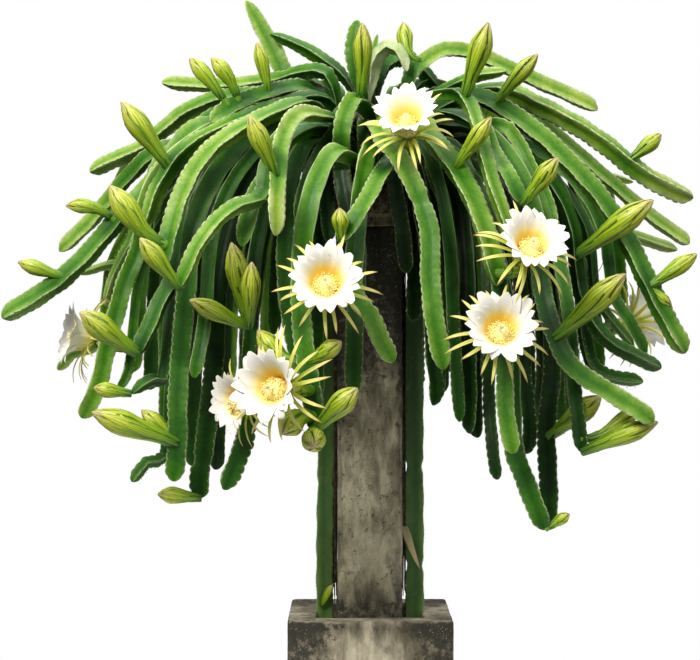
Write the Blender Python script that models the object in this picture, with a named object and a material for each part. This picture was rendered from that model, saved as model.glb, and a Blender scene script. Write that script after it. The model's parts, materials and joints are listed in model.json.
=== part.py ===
# Dragon fruit cactus on a square concrete post that stands in a square concrete planter.
# Metres, +Z up. The origin is the middle of the planter's underside and the front faces -Y.

import math
import random

import bmesh
import bpy
import numpy as np
from mathutils import Matrix, Vector

GAP = 0.0003

PLANTER_WIDTH = 0.40
PLANTER_HEIGHT = 0.30
PLANTER_WALL = 0.07
PLANTER_FLOOR = 0.06
PLANTER_EDGE = 0.006
SOIL_DROP = 0.035
SOIL_HOLE_CLEARANCE = 0.002
POST_WIDTH = 0.16
POST_TOP = 1.255
POST_EDGE = 0.007
CAP_WIDTH = 0.195
CAP_TOP = 1.350
CAP_EDGE = 0.006
CAP_FOOT = 0.025
CAP_FOOT_INSET = 0.006

CROWN_RADIUS = 0.050
CROWN_TOP = 1.560
COLLAR_RADIUS = 0.090
COLLAR_TOP = 1.500
ROOT_RADIUS = 0.068
ROOT_TURN = 0.07
HELD_RADIUS = 0.076
ROOT_LOWEST = 1.370
ROOT_HIGHEST = 1.490
# Inside this distance from the post's axis no bud or flower tube is rooted.
BARE_RADIUS = 0.13
CROWN_SPREAD = 0.022
CROWN_DOME = 0.012
CROWN_DOME_INSET = 0.018

# The front view that the stems are laid out in: a level view from this far in front of the post.
SIGHT_RANGE = 4.80
SIGHT_ACROSS = -0.049
SIGHT_HEIGHT = 1.00

# Spheres kept clear of stems: from height, to height, step and radius, up the post and the cap.
POST_ROOM = ((0.32, 1.22, 0.05, 0.118), (1.24, 1.36, 0.04, 0.145))
CROWN_ROOM = ((1.54, 0.052), (1.57, 0.052))
# The space of an open flower of size 1: how many spheres, their height, reach and radius.
FLOWER_ROOM = ((6, 0.040, 0.040, 0.030), (9, 0.085, 0.062, 0.026), (9, 0.012, 0.060, 0.024),
               (14, 0.004, 0.105, 0.024))

# A three-ribbed stem is given by the width of one face. Its corners lie this much of it from the middle.
CORNER = 1.0 / math.sqrt(3.0)
CREST = 1.07
NOTCH = 0.90
SCALLOP_STEP = 0.078
HIDDEN_STEP = 0.160
REAR_STEP = 0.130
BEND_LIMIT = math.radians(22.0)
TIP_LENGTH = 0.030
LINE_STEP = 0.030
CLEARANCE = 0.010
KINDRED = 0.85
SAME_LIMB_RADIUS = 0.11
FIRST_ROUNDS = 160
LAST_ROUNDS = 280
SWING = 0.4
SWING_SEED = 11
SHARP_ANGLE = math.radians(50.0)
UNION_SOLVER = "MANIFOLD"

# How a radius runs along a strand: places, or shares of the length, and the share of the full radius there.
BUD_BELLY = ((0.0, 0.15, 0.4, 0.62, 0.85, 1.0), (0.42, 0.60, 0.88, 1.0, 0.62, 0.10))
TUBE_FLARE = ((0.0, 0.35, 1.0), (0.72, 0.78, 1.0))
ROOT_TAPER = (0.30, 0.42, 1.0)
ROOT_TAPER_SHORT = (0.0, 0.05, 0.17)
ROOT_TAPER_LONG = (0.0, 0.05, 0.30)
CLIMBER_TAPER = ((0.0, 0.04, 0.08), (0.36, 0.55, 1.0))
JOINT_LENGTH = 0.014
JOINT_RING = 0.022

# The limbs go round the crown every 30 degrees, from the right (+X) by the back (+Y).
LIMBS = ("stems_right", "stems_right_back", "stems_back_right", "stems_back", "stems_back_left",
         "stems_left_back", "stems_left", "stems_left_front", "stems_front_left", "stems_front",
         "stems_front_right", "stems_right_front")
LIMB_ANGLE = 2.0 * math.pi / len(LIMBS)

# Stems by limb. Each is its face width in mm, its depth in cm at the first and at the last point, and its
# route as seen from the front, in cm across from the post's middle and up from the ground. A third number
# in a point is a joint between two segments, where the stem narrows to that share.
STEMS = {
    "stems_left": [
        (38, -3, 4, [(-10, 162), (-17, 163), (-22, 161.5, 0.5), (-32, 160.5), (-42, 160.5), (-52, 161.5)]),
        (42, -4, 0, [(-17, 157), (-34, 158.5), (-45, 155), (-51, 150.5), (-57, 145.5), (-64, 142.5),
                       (-70, 139.5)]),
        (35, -6, -14, [(-29, 157), (-36, 155.5), (-42, 152), (-47, 147.5), (-52, 142.5), (-55, 137.5)]),
        (42, -4, 2, [(-50, 145), (-59, 139), (-66, 131), (-71, 125.5), (-77.5, 119.5)]),
        (50, -12, -20, [(-42, 150), (-50, 141), (-59, 131), (-64, 126), (-70, 119), (-77.5, 112), (-85, 107),
                        (-92, 103)]),
        (40, -2, 4, [(-59, 122.5), (-63, 115), (-66, 106)]),
        (25, -6, -8, [(-60, 92), (-61, 88), (-63, 85)]),
        (32, -14, -16, [(-51, 107.5), (-51, 90), (-51, 71)]),
    ],
    "stems_left_back": [
        (23, 14, 20, [(-61, 118.5), (-67, 116), (-72.5, 114)]),
        (32, 18, 24, [(-67.5, 98), (-74.5, 94.5), (-78, 90)]),
    ],
    "stems_left_front": [
        (32, -36, -38, [(-41, 106), (-42, 97.5), (-44, 88)]),
        (45, -38, -42, [(-46, 108), (-47, 97.5), (-48, 82.5), (-48, 72.5), (-49, 62)]),
        (42, -8, -34, [(-17, 159.5), (-27, 158), (-34, 155.5), (-40, 151.5)]),
        (42, -10, -34, [(-10, 156), (-20, 154.5), (-30.5, 152), (-45, 145.5), (-52.5, 136), (-56, 126)]),
        (45, -14, -44, [(-17.5, 154.5), (-30, 150.5), (-39, 145), (-44.5, 138), (-48, 130), (-51, 119),
                        (-52, 114.5)]),
        (42, -22, -26, [(-57.5, 121), (-61, 112.5), (-63.5, 104), (-66, 94.5), (-68, 86), (-72, 78)]),
        (42, -36, -42, [(-48.5, 114), (-52, 107), (-55, 100), (-58, 94)]),
        (30, -36, -40, [(-51, 89), (-55, 87.5), (-59.5, 84)]),
        (30, -20, -24, [(-50.5, 70), (-55, 67.5), (-59.5, 62)]),
        (50, -26, -28, [(-38.5, 90), (-40, 77.5), (-41, 69), (-42, 64, 0.5), (-42, 58)]),
    ],
    "stems_front_left": [
        (40, -20, -28, [(-12, 139.5), (-12, 131), (-11, 122)]),
        (38, -10, -42, [(-6, 154.5), (-11, 147.5), (-15, 139.5), (-17, 132.5), (-18, 126)]),
        (38, -44, -54, [(-27, 133), (-34, 130.5), (-39.5, 125.5), (-43, 120.5), (-45.5, 115),
                        (-47.5, 110.5)]),
        (35, -36, -36, [(-30, 100), (-31, 91)]),
        (45, -34, -36, [(-31, 76), (-33, 68), (-36.5, 60)]),
        (40, -36, -46, [(-25.5, 138), (-29, 132), (-32, 120.5)]),
        (40, -30, -54, [(-16, 153), (-20, 150.5), (-22.5, 144), (-23.5, 132.5), (-23.5, 123.5)]),
        (45, -22, -30, [(-18, 145), (-19.5, 136), (-20, 128)]),
        (42, -34, -36, [(-21, 122.5), (-21, 110), (-19, 96), (-17.5, 89)]),
    ],
    "stems_front": [
        (45, -48, -50, [(-17, 107.5), (-16, 95), (-14, 82.5), (-14, 75)]),
        (45, -22, -46, [(3, 146), (7.5, 141), (11, 135), (14, 127.5), (15, 122, 0.5), (15, 112.5),
                        (16, 102.5), (18.5, 90)]),
        (42, -18, -34, [(-4.5, 157), (-7, 151), (-7, 141), (-5.5, 131), (-3, 120), (-3.5, 102.5), (-4, 84)]),
        (45, -42, -44, [(-4.5, 109.5), (0, 103), (3, 96), (6, 92)]),
        (42, -22, -48, [(7, 143), (3, 138), (-1, 131), (-7, 122)]),
        (30, -16, -20, [(-0.5, 152), (-1, 142.5), (-1.5, 132.5)]),
    ],
    "stems_front_right": [
        (38, -32, -42, [(29.5, 145), (34, 138.5), (38, 131)]),
        (40, -27, -27, [(25, 97.5), (25.5, 82.5), (25, 74)]),
        (45, -38, -40, [(36, 72.5), (38.5, 64), (42, 55), (44, 50)]),
        (30, -20, -25, [(14.5, 138), (17.5, 131), (19, 124)]),
        (38, -18, -22, [(9.5, 134), (11, 125), (12, 114)]),
        (38, -15, -15, [(10.5, 115.5), (10.5, 102)]),
        (40, -24, -24, [(15.5, 94.5), (16.5, 86), (16, 81)]),
        (52, -24, -50, [(15.5, 147.5), (21, 140.5), (25.5, 132.5), (29, 123), (32, 111)]),
        (38, -24, -50, [(22.5, 158), (26.5, 152), (28.5, 144), (31, 135), (34, 127), (35.5, 121)]),
        (30, -30, -30, [(21, 100), (22.5, 77)]),
        (40, -46, -48, [(33.5, 92.5), (34, 79), (36, 69)]),
    ],
    "stems_right_front": [
        (38, -16, -18, [(20, 122.5), (20.5, 102.5), (20.5, 89)]),
        (50, -14, -30, [(26, 158), (40, 150), (51, 140), (58, 132), (64, 122.5), (69, 112.5), (74, 102.5),
                        (79, 94)]),
        (33, -20, -36, [(32, 150), (36.5, 146), (40.5, 139), (44, 132.5), (46, 124.5), (48, 115), (50, 102.5),
                        (51, 87.5), (53, 69.5)]),
        (45, -30, -38, [(42.5, 112), (45.5, 100), (50, 91), (57.5, 85.5), (65, 81), (71, 77)]),
        (35, -20, -22, [(54, 96), (58, 89), (68.5, 87)]),
        (38, -22, -26, [(52.5, 110), (58, 99), (64.5, 94.5), (73, 90.5)]),
        (30, -30, -30, [(30, 94), (30, 82.5), (31, 70), (32, 62.5)]),
        (35, -22, -22, [(38.5, 89), (40, 75), (39, 69)]),
        (45, -28, -30, [(46, 92.5), (44.5, 75), (45, 62.5), (45, 51)]),
        (32, -6, -10, [(19, 159), (26, 162.5), (34.5, 164)]),
    ],
    "stems_right": [
        (50, -10, -14, [(32.5, 159.5), (42.5, 156), (52.5, 151), (60, 146), (67.5, 140), (74.5, 136),
                        (81, 133)]),
        (38, -4, -4, [(34, 157.5), (47.5, 147.5), (57.5, 139), (67.5, 130.5), (74, 125.5), (80, 121.5)]),
        (32, -20, -22, [(60.5, 109), (64.5, 102.5), (69, 94)]),
        (25, -14, -14, [(57, 108), (66, 96)]),
        (30, -6, -8, [(51, 136), (55.5, 127.5), (57.5, 122.5)]),
        (35, -14, -16, [(50, 121), (54, 114)]),
        (42, -3, 4, [(10, 163.5), (14, 167.5), (19, 170), (26, 169), (34, 165.5), (44, 161), (51, 158),
                      (57, 155)]),
        (25, -12, -14, [(43, 90), (41, 75.5)]),
        (25, -14, -16, [(49.5, 90), (50, 79)]),
    ],
    "stems_right_back": [
        (32, 8, 12, [(57.5, 127), (67.5, 123), (77, 120)]),
        (23, 18, 24, [(47.5, 145), (57.5, 139.5), (66, 137)]),
    ],
    "crown": [
        (48, 5, 8, [(-12, 158), (-19.5, 161.5), (-24, 170), (-30.5, 182)]),
        (40, 1, 3, [(-5, 161.5), (-11, 167), (-17.5, 171), (-25, 174)]),
        (35, -3, -3, [(-2.5, 162.5), (-3.5, 170), (-3, 177.5)]),
        (23, 5, 8, [(0.5, 165), (2, 174)]),
        (28, -2, -6, [(0.5, 162.5), (1.5, 168), (4.5, 171), (8, 169), (9.5, 164.5)]),
    ],
}

# Climbing stems, from the soil up beside the post and over the cap, by the limb that they feed: face width
# in mm, then points in cm across, up and back, with a joint's share as a fourth number.
CLIMBERS = {
    "stems_right": (46, [(11.3, 14, 0), (11.3, 41, 0, 0.5), (11.2, 66, 0, 0.45), (11.2, 90, -1),
                         (11.6, 112, -1), (13.6, 127, 0), (13.4, 136, 0), (10.5, 143, 0), (7.2, 146, 0)]),
    "stems_left": (44, [(-11.4, 14, -1), (-11.6, 42, -1), (-11.4, 62, -1, 0.6), (-11.2, 90, 0),
                        (-11.6, 112, 0), (-13.6, 127, 0), (-13.4, 136, 0), (-10.5, 143, 0), (-7.2, 146, 0)]),
    "stems_back": (44, [(1, 14, 11.4), (1, 40, 11.5), (0, 70, 11.3, 0.5), (0, 112, 11.6), (0, 127, 13.6),
                        (0, 136, 13.4), (0, 143, 10.5), (0, 146, 7.2)]),
}

# Stems that hang behind and inside, set out by rule: heading in degrees from the right by the back, how
# many, the shortest and longest reach, and the lowest and highest tip, in m.
REAR_STEMS = [
    (12, 46, 4, 0.56, 0.78, 0.86, 1.24),
    (46, 78, 4, 0.50, 0.74, 0.84, 1.16),
    (78, 102, 4, 0.44, 0.72, 0.82, 1.10),
    (102, 134, 4, 0.50, 0.74, 0.84, 1.16),
    (134, 168, 4, 0.56, 0.78, 0.86, 1.24),
    (20, 160, 5, 0.24, 0.40, 0.84, 1.02),
    (196, 256, 2, 0.20, 0.34, 0.86, 1.06),
    (286, 344, 2, 0.20, 0.34, 0.82, 1.04),
]
REAR_WIDTH = (0.036, 0.046)
REAR_SEED = 7

# Buds: the tip and the foot as seen from the front in cm, the width in mm and how far the tip leans
# forward in cm.
BUDS = [
    (-62, 157, -51, 140, 55, 4), (-65, 136, -55, 122.5, 60, 4), (-57.5, 123, -48, 111, 45, 4),
    (-76, 131, -67.5, 131, 35, 1), (-45, 168, -39.5, 162, 38, 0), (-39.5, 168, -34, 162.5, 38, 2),
    (-28, 172, -26, 161, 33, 2), (-30, 153.5, -25, 138.5, 45, 5), (-2, 176.5, -2, 161, 45, 6),
    (8.5, 177, 9.5, 167, 40, -3), (30, 176.5, 24.5, 158.5, 55, 5), (42, 169, 33, 159, 40, 3),
    (30.5, 153, 23, 141, 40, 5), (47, 143, 39, 131, 45, 5), (73, 149, 64.5, 142, 38, 0),
    (71, 132.5, 53, 118.5, 60, 8), (64, 114, 48, 98, 60, 8), (82, 119, 69, 112, 40, 0),
    (75.5, 106, 71, 110.5, 23, 0), (-88, 117, -78, 113, 35, 0), (-72.5, 104.5, -57, 92.5, 60, 6),
    (-34.5, 122, -30.5, 101, 55, 5), (-29.5, 117, -31, 101, 45, 7), (-45, 107.5, -32, 102, 45, 6),
    (-28, 100, -21, 91, 50, 0), (-7, 97, -13, 93, 40, 4), (-3, 85.5, -11.5, 75.5, 55, 5),
    (-69.5, 79.5, -50.5, 70.5, 60, 6), (-57, 80, -50.5, 70.5, 40, 1), (-69, 85.5, -60, 84, 35, 1),
    (-53, 59, -42, 58, 40, 1), (58, 83.5, 47, 74.5, 55, 5), (72, 77, 55, 71, 45, 5),
    (68, 81, 57, 72.5, 40, 2), (50, 54, 46.5, 52.5, 25, 0), (-7.5, 130.5, -7, 123, 38, 3),
    (-14, 71, -14, 76, 55, 7), (-22, 74, -17, 80, 60, 6),
]

# Open flowers: the mouth's middle as seen from the front in cm, its depth, the way it faces, its size, and
# where its tube meets a stem, as seen from the front.
FLOWERS = [
    ((9, 155), -42, (-0.12, -0.62, 0.78), 1.00, (10, 137)),
    ((-11, 113), -60, (0.02, -0.95, 0.30), 1.00, (-13, 107)),
    ((-25.5, 86), -66, (-0.50, -0.86, 0.06), 1.05, (-20, 85)),
    ((-35, 82), -50, (-0.75, -0.65, -0.05), 0.85, (-28, 80)),
    ((41, 122.5), -60, (0.22, -0.85, 0.48), 1.00, (36, 115)),
    ((33, 101), -60, (0.06, -0.95, 0.30), 1.00, (34, 94)),
    ((-75, 99), -14, (-0.93, -0.30, 0.22), 0.95, (-62, 97)),
    ((69, 103), -2, (0.80, 0.55, 0.22), 0.95, (58, 102)),
]
TUBE_RADIUS = 0.0165
DISC_RADIUS = 0.021
DISC_HEIGHT = 0.008
CUP_RADIUS = 0.017
CUP_HEIGHT = 0.012
MOUTH_HEIGHT = 0.070
PETAL_COUNT = 8
PETAL_ROWS = ((0.060, 0.086, 0.036), (0.042, 0.094, 0.030))
TEPAL_COUNT = 12
TEPAL_REACH = 0.122
TEPAL_WIDTH = 0.011
STAMEN_COUNT = 6
STAMEN_HEIGHT = 0.058

COLORS = {
    "planter": ("#8b8578", 0.95), "soil": ("#3d3226", 1.0), "post": ("#8a8272", 0.95),
    "cap": ("#968d7d", 0.95), "crown": ("#4c7a3a", 0.6), "stem": ("#3f8a35", 0.5),
    "tepals": ("#d8d46a", 0.6), "corolla": ("#f6f5ee", 0.55), "stamens": ("#f0cf5a", 0.7),
}


def material(name):
    """A Principled material in the colour and roughness listed under a name."""
    color, roughness = COLORS[name]
    found = bpy.data.materials.get(name)
    if found:
        return found
    made = bpy.data.materials.new(name)
    made.use_nodes = True
    shader = made.node_tree.nodes["Principled BSDF"]
    channels = [int(color[k:k + 2], 16) / 255.0 for k in (1, 3, 5)]
    linear = [c / 12.92 if c <= 0.04045 else ((c + 0.055) / 1.055) ** 2.4 for c in channels]
    shader.inputs["Base Color"].default_value = (*linear, 1.0)
    shader.inputs["Roughness"].default_value = roughness
    shader.inputs["Metallic"].default_value = 0.0
    return made


def add_object(name, bm, collection, finish):
    """Makes an object from a bmesh, with its normals out."""
    bmesh.ops.recalc_face_normals(bm, faces=bm.faces)
    mesh = bpy.data.meshes.new(name)
    bm.to_mesh(mesh)
    bm.free()
    made = bpy.data.objects.new(name, mesh)
    made.data.materials.append(material(finish))
    collection.objects.link(made)
    return made


def box(size, center):
    """A box as a bmesh."""
    bm = bmesh.new()
    bmesh.ops.create_cube(bm, size=1.0, matrix=Matrix.Translation(center) @ Matrix.Diagonal((*size, 1.0)))
    bm.normal_update()
    return bm


def bevel_edges(bm, width, chosen):
    """Chamfers the edges that a test picks."""
    edges = [edge for edge in bm.edges if chosen(edge)]
    bmesh.ops.bevel(bm, geom=edges, offset=width, segments=1, affect="EDGES", profile=0.5)


def is_upright(edge):
    low, high = (vert.co for vert in edge.verts)
    return abs(low.x - high.x) < 1e-5 and abs(low.y - high.y) < 1e-5


def placed(across, up, depth):
    """The point that stands at a given place in the front view, in cm, when it lies at a given depth."""
    spread = (SIGHT_RANGE + depth / 100.0) / SIGHT_RANGE
    x = SIGHT_ACROSS + (across / 100.0 - SIGHT_ACROSS) * spread
    z = SIGHT_HEIGHT + (up / 100.0 - SIGHT_HEIGHT) * spread
    return np.array((x, depth / 100.0, z))


def spline(points, step):
    """A smooth line through points, as points a fixed step apart."""
    points = np.asarray(points, dtype=float)
    ends = np.vstack((2.0 * points[0] - points[1], points, 2.0 * points[-1] - points[-2]))
    dense = []
    for k in range(len(points) - 1):
        a, b, c, d = ends[k:k + 4]
        for t in np.linspace(0.0, 1.0, 12, endpoint=False):
            dense.append(0.5 * (2.0 * b + (c - a) * t + (2.0 * a - 5.0 * b + 4.0 * c - d) * t ** 2
                                + (3.0 * b - a - 3.0 * c + d) * t ** 3))
    dense.append(points[-1])
    return resampled(np.array(dense), step)


def arc_length(line):
    """The distance along a line at each of its points."""
    return np.concatenate(([0.0], np.cumsum(np.linalg.norm(np.diff(line, axis=0), axis=1))))


def resampled(line, step):
    """The same line as points about one step apart."""
    along = arc_length(line)
    count = max(3, int(round(along[-1] / step)) + 1)
    wanted = np.linspace(0.0, along[-1], count)
    return np.column_stack([np.interp(wanted, along, line[:, k]) for k in range(3)])


class Strand:
    """A stem, a bud or a flower's tube: a centre line with a radius along it, as a part of one limb."""

    def __init__(self, kind, limb, line, width):
        self.kind = kind
        self.limb = limb
        self.line = line
        self.width = width
        self.hidden = 0.0
        self.joints = []
        self.laid = True
        self.fixed = False
        self.parent = None
        self.swing = 0.0

    def length(self):
        return arc_length(self.line)[-1]

    def radius(self, along):
        """The distance from the centre line to a rib, or to the skin of a bud or a tube."""
        along = np.asarray(along, dtype=float)
        total = self.length()
        if self.kind == "bud":
            share = np.clip((along - self.hidden) / (total - self.hidden), 0.0, 1.0)
            return 0.5 * self.width * np.interp(share, *BUD_BELLY)
        if self.kind == "tube":
            return 0.5 * self.width * np.interp(along / total, *TUBE_FLARE)
        taper = ROOT_TAPER_LONG if self.hidden > 0.18 else ROOT_TAPER_SHORT
        size = self.width * CORNER * np.interp(along, taper, ROOT_TAPER)
        if self.kind == "climber":
            size = self.width * CORNER * np.interp(total - along, *CLIMBER_TAPER)
        for place, share in self.joints:
            size = size * (1.0 - (1.0 - share) * np.exp(-((along - place) / JOINT_LENGTH) ** 2))
        rest = np.clip((total - along) / TIP_LENGTH, 0.0, 1.0)
        return size * np.maximum(0.35, np.sqrt(1.0 - (1.0 - rest) ** 2))


def limb_heading(limb):
    """The angle round the post at which a limb leaves the crown."""
    return LIMBS.index(limb) * LIMB_ANGLE


def root_of(limb, rank, count):
    """The point inside a limb's collar where one of its stems starts, in two columns from the lowest up."""
    angle = limb_heading(limb) + (ROOT_TURN if rank % 2 else -ROOT_TURN)
    height = ROOT_LOWEST + (ROOT_HIGHEST - ROOT_LOWEST) * (rank + 0.5) / count
    return np.array((ROOT_RADIUS * math.cos(angle), ROOT_RADIUS * math.sin(angle), height))


def arch(root, heading, first):
    """The hidden run of a stem: up and out of the crown, then over and down to its first seen point."""
    outward = np.array((math.cos(heading), math.sin(heading), 0.0))
    way_out = root + 0.032 * outward + np.array((0.0, 0.0, 0.018))
    across = (first - way_out) * np.array((1.0, 1.0, 0.0))
    distance = np.linalg.norm(across)
    if distance < 0.08:
        return [root]
    if first[2] > way_out[2]:
        middle = way_out + 0.45 * across
        middle[2] = way_out[2] + 0.70 * (first[2] - way_out[2])
        return [root, way_out, middle]
    top = way_out[2] + min(0.06, 0.10 * distance)
    run = [root, way_out]
    for share in (0.26, 0.5, 0.76):
        point = way_out + across * (1.0 - (1.0 - share) ** 2)
        point[2] = top - (top - first[2]) * share ** 2
        run.append(point)
    return run


def laid_stems():
    """The stems whose routes are given in the front view."""
    strands = []
    for limb, stems in STEMS.items():
        by_height = sorted(range(len(stems)), key=lambda k: stems[k][3][0][1])
        for order, (width, near, far, route) in enumerate(stems):
            flat = np.array([point[:2] for point in route], dtype=float)
            share = arc_length(np.column_stack((flat, np.zeros(len(flat)))))
            share = share / share[-1]
            depths = near + (far - near) * (1.0 - (1.0 - share) ** 2)
            seen = [placed(x, z, y) for (x, z), y in zip(flat, depths)]
            if limb == "crown":
                angle = order * 2.4
                lead = [np.array((CROWN_SPREAD * math.cos(angle), CROWN_SPREAD * math.sin(angle),
                                  CROWN_TOP - 0.04))]
            else:
                lead = arch(root_of(limb, by_height.index(order), len(stems)), limb_heading(limb), seen[0])
            strand = Strand("stem", limb, spline(lead + seen, LINE_STEP), width / 1000.0)
            strand.hidden = arc_length(spline(lead + seen[:1], 0.01))[-1] if len(lead) > 1 else 0.0
            for point, place in zip(route, seen):
                if len(point) > 2:
                    strand.joints.append((nearest_along(strand.line, place), point[2]))
            strands.append(strand)
    return strands


def nearest_along(line, place):
    """How far along a line its point nearest to a place is."""
    fine = resampled(line, 0.004)
    return arc_length(fine)[np.argmin(np.linalg.norm(fine - place, axis=1))]


def climbing_stems():
    """The stems that grow up from the soil beside the post."""
    strands = []
    for limb, (width, route) in CLIMBERS.items():
        points = [np.array((point[0], point[2], point[1])) / 100.0 for point in route]
        strand = Strand("climber", limb, spline(points, LINE_STEP), width / 1000.0)
        strand.fixed = True
        for point, place in zip(route, points):
            if len(point) > 3:
                strand.joints.append((nearest_along(strand.line, place), point[3]))
        strands.append(strand)
    return strands


def rear_stems():
    """The stems round the back, spread evenly in heading with drawn reach, drop and width."""
    draw = random.Random(REAR_SEED)
    strands = []
    for first, last, count, short, long, low, high in REAR_STEMS:
        for k in range(count):
            heading = math.radians(first + (last - first) * (k + draw.uniform(0.3, 0.7)) / count)
            limb = LIMBS[int(round(heading / LIMB_ANGLE)) % len(LIMBS)]
            reach = draw.uniform(short, long)
            tip = high - (high - low) * (k % 2) + draw.uniform(-0.04, 0.04)
            root = root_of(limb, k, count)
            top = root[2] + 0.05 + 0.12 * reach + draw.uniform(0.0, 0.03)
            points = [root]
            for share in (0.08, 0.20, 0.38, 0.58, 0.79, 1.0):
                angle = heading + (limb_heading(limb) - heading) * max(0.0, 1.0 - share / 0.4)
                outward = np.array((math.cos(angle), math.sin(angle), 0.0))
                point = outward * (ROOT_RADIUS + (reach - ROOT_RADIUS) * (1.0 - (1.0 - share) ** 2))
                point[2] = top - (top - tip) * share ** 2.2
                points.append(point)
            strand = Strand("stem", limb, spline(points, LINE_STEP), draw.uniform(*REAR_WIDTH))
            strand.hidden = 0.20
            strand.laid = False
            strands.append(strand)
    return strands


def flower_axes(facing):
    """Two sideways directions and the axis of a flower that faces a given way."""
    axis = Vector(facing).normalized()
    side = axis.cross(Vector((0.0, 0.0, 1.0))).normalized()
    return side, axis.cross(side).normalized(), axis


def flower_foot(flower):
    """The middle of the flower's seat on its tube."""
    (across, up), depth, facing, size, _ = flower
    axis = np.array(flower_axes(facing)[2])
    return placed(across, up, depth) - axis * MOUTH_HEIGHT * size


def flower_room(flower):
    """Spheres that fill the space of an open flower, as middles and radii."""
    side, other, axis = (np.array(v) for v in flower_axes(flower[2]))
    foot, size = flower_foot(flower), flower[3]
    spheres = [(foot + 0.02 * axis, 0.026)]
    for count, height, reach, radius in FLOWER_ROOM:
        for k in range(count):
            turn = 2.0 * math.pi * k / count
            away = math.cos(turn) * side + math.sin(turn) * other
            spheres.append((foot + size * (height * axis + reach * away), radius * size))
    return spheres


def seen_from_front(points):
    """Where points stand in the front view, in m."""
    points = np.atleast_2d(points)
    spread = SIGHT_RANGE / (SIGHT_RANGE + points[:, 1])
    return np.column_stack((SIGHT_ACROSS + (points[:, 0] - SIGHT_ACROSS) * spread,
                            SIGHT_HEIGHT + (points[:, 2] - SIGHT_HEIGHT) * spread))


def grown_buds(stems):
    """The buds, each rooted in the front stem that passes its foot."""
    seen = [seen_from_front(stem.line) for stem in stems]
    strands = []
    for tip_across, tip_up, across, up, width, lean in BUDS:
        foot = np.array((across, up)) / 100.0
        best = None
        for stem, flat in zip(stems, seen):
            away = np.linalg.norm(flat - foot, axis=1)
            away[np.linalg.norm(stem.line[:, :2], axis=1) < BARE_RADIUS] += 1.0
            place = int(np.argmin(away))
            cost = max(away[place], 0.02) * 3.0 + stem.line[place, 1]
            if best is None or cost < best[0]:
                best = (cost, stem, place, away[place])
        _, stem, place, gap = best
        start = stem.line[place]
        depth = start[1] * 100.0 - 0.6
        tip = placed(tip_across, tip_up, depth - lean)
        points = [start, placed(across, up, depth - 1.0), tip] if gap > 0.03 else [start, tip]
        strand = Strand("bud", stem.limb, spline(points, LINE_STEP), width / 1000.0)
        strand.hidden = max(0.0, gap - 0.01) if gap > 0.03 else 0.0
        strand.parent = (stem, place)
        strands.append(strand)
    return strands


def flower_tubes(stems):
    """The green tube behind each flower, from a stem to the flower's seat."""
    strands = []
    for flower in FLOWERS:
        foot = flower_foot(flower)
        axis = np.array(flower_axes(flower[2])[2])
        tail = placed(*flower[4], foot[1] * 100.0 + 6.0)
        options = []
        for stem in stems:
            away = np.linalg.norm(stem.line - tail, axis=1)
            away[np.linalg.norm(stem.line[:, :2], axis=1) < BARE_RADIUS] += 1.0
            place = int(np.argmin(away))
            options.append((away[place], len(options), stem, place))
        _, _, stem, place = min(options)
        start = stem.line[place]
        bend = foot - axis * 0.055
        points = [start, 0.5 * (start + bend) + np.array((0.0, 0.0, -0.006)), bend, foot - axis * 0.022, foot]
        strand = Strand("tube", stem.limb, spline(points, 0.02), 2.0 * TUBE_RADIUS * flower[3])
        strand.parent = (stem, place)
        strands.append(strand)
    return strands


def post_room():
    """Spheres that fill the post and its cap."""
    return [(np.array((0.0, 0.0, z)), radius) for low, high, step, radius in POST_ROOM
            for z in np.arange(low, high, step)]


def crown_room():
    """Spheres that fill the crown above the collars."""
    return [(np.array((0.0, 0.0, z)), radius) for z, radius in CROWN_ROOM]


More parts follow.
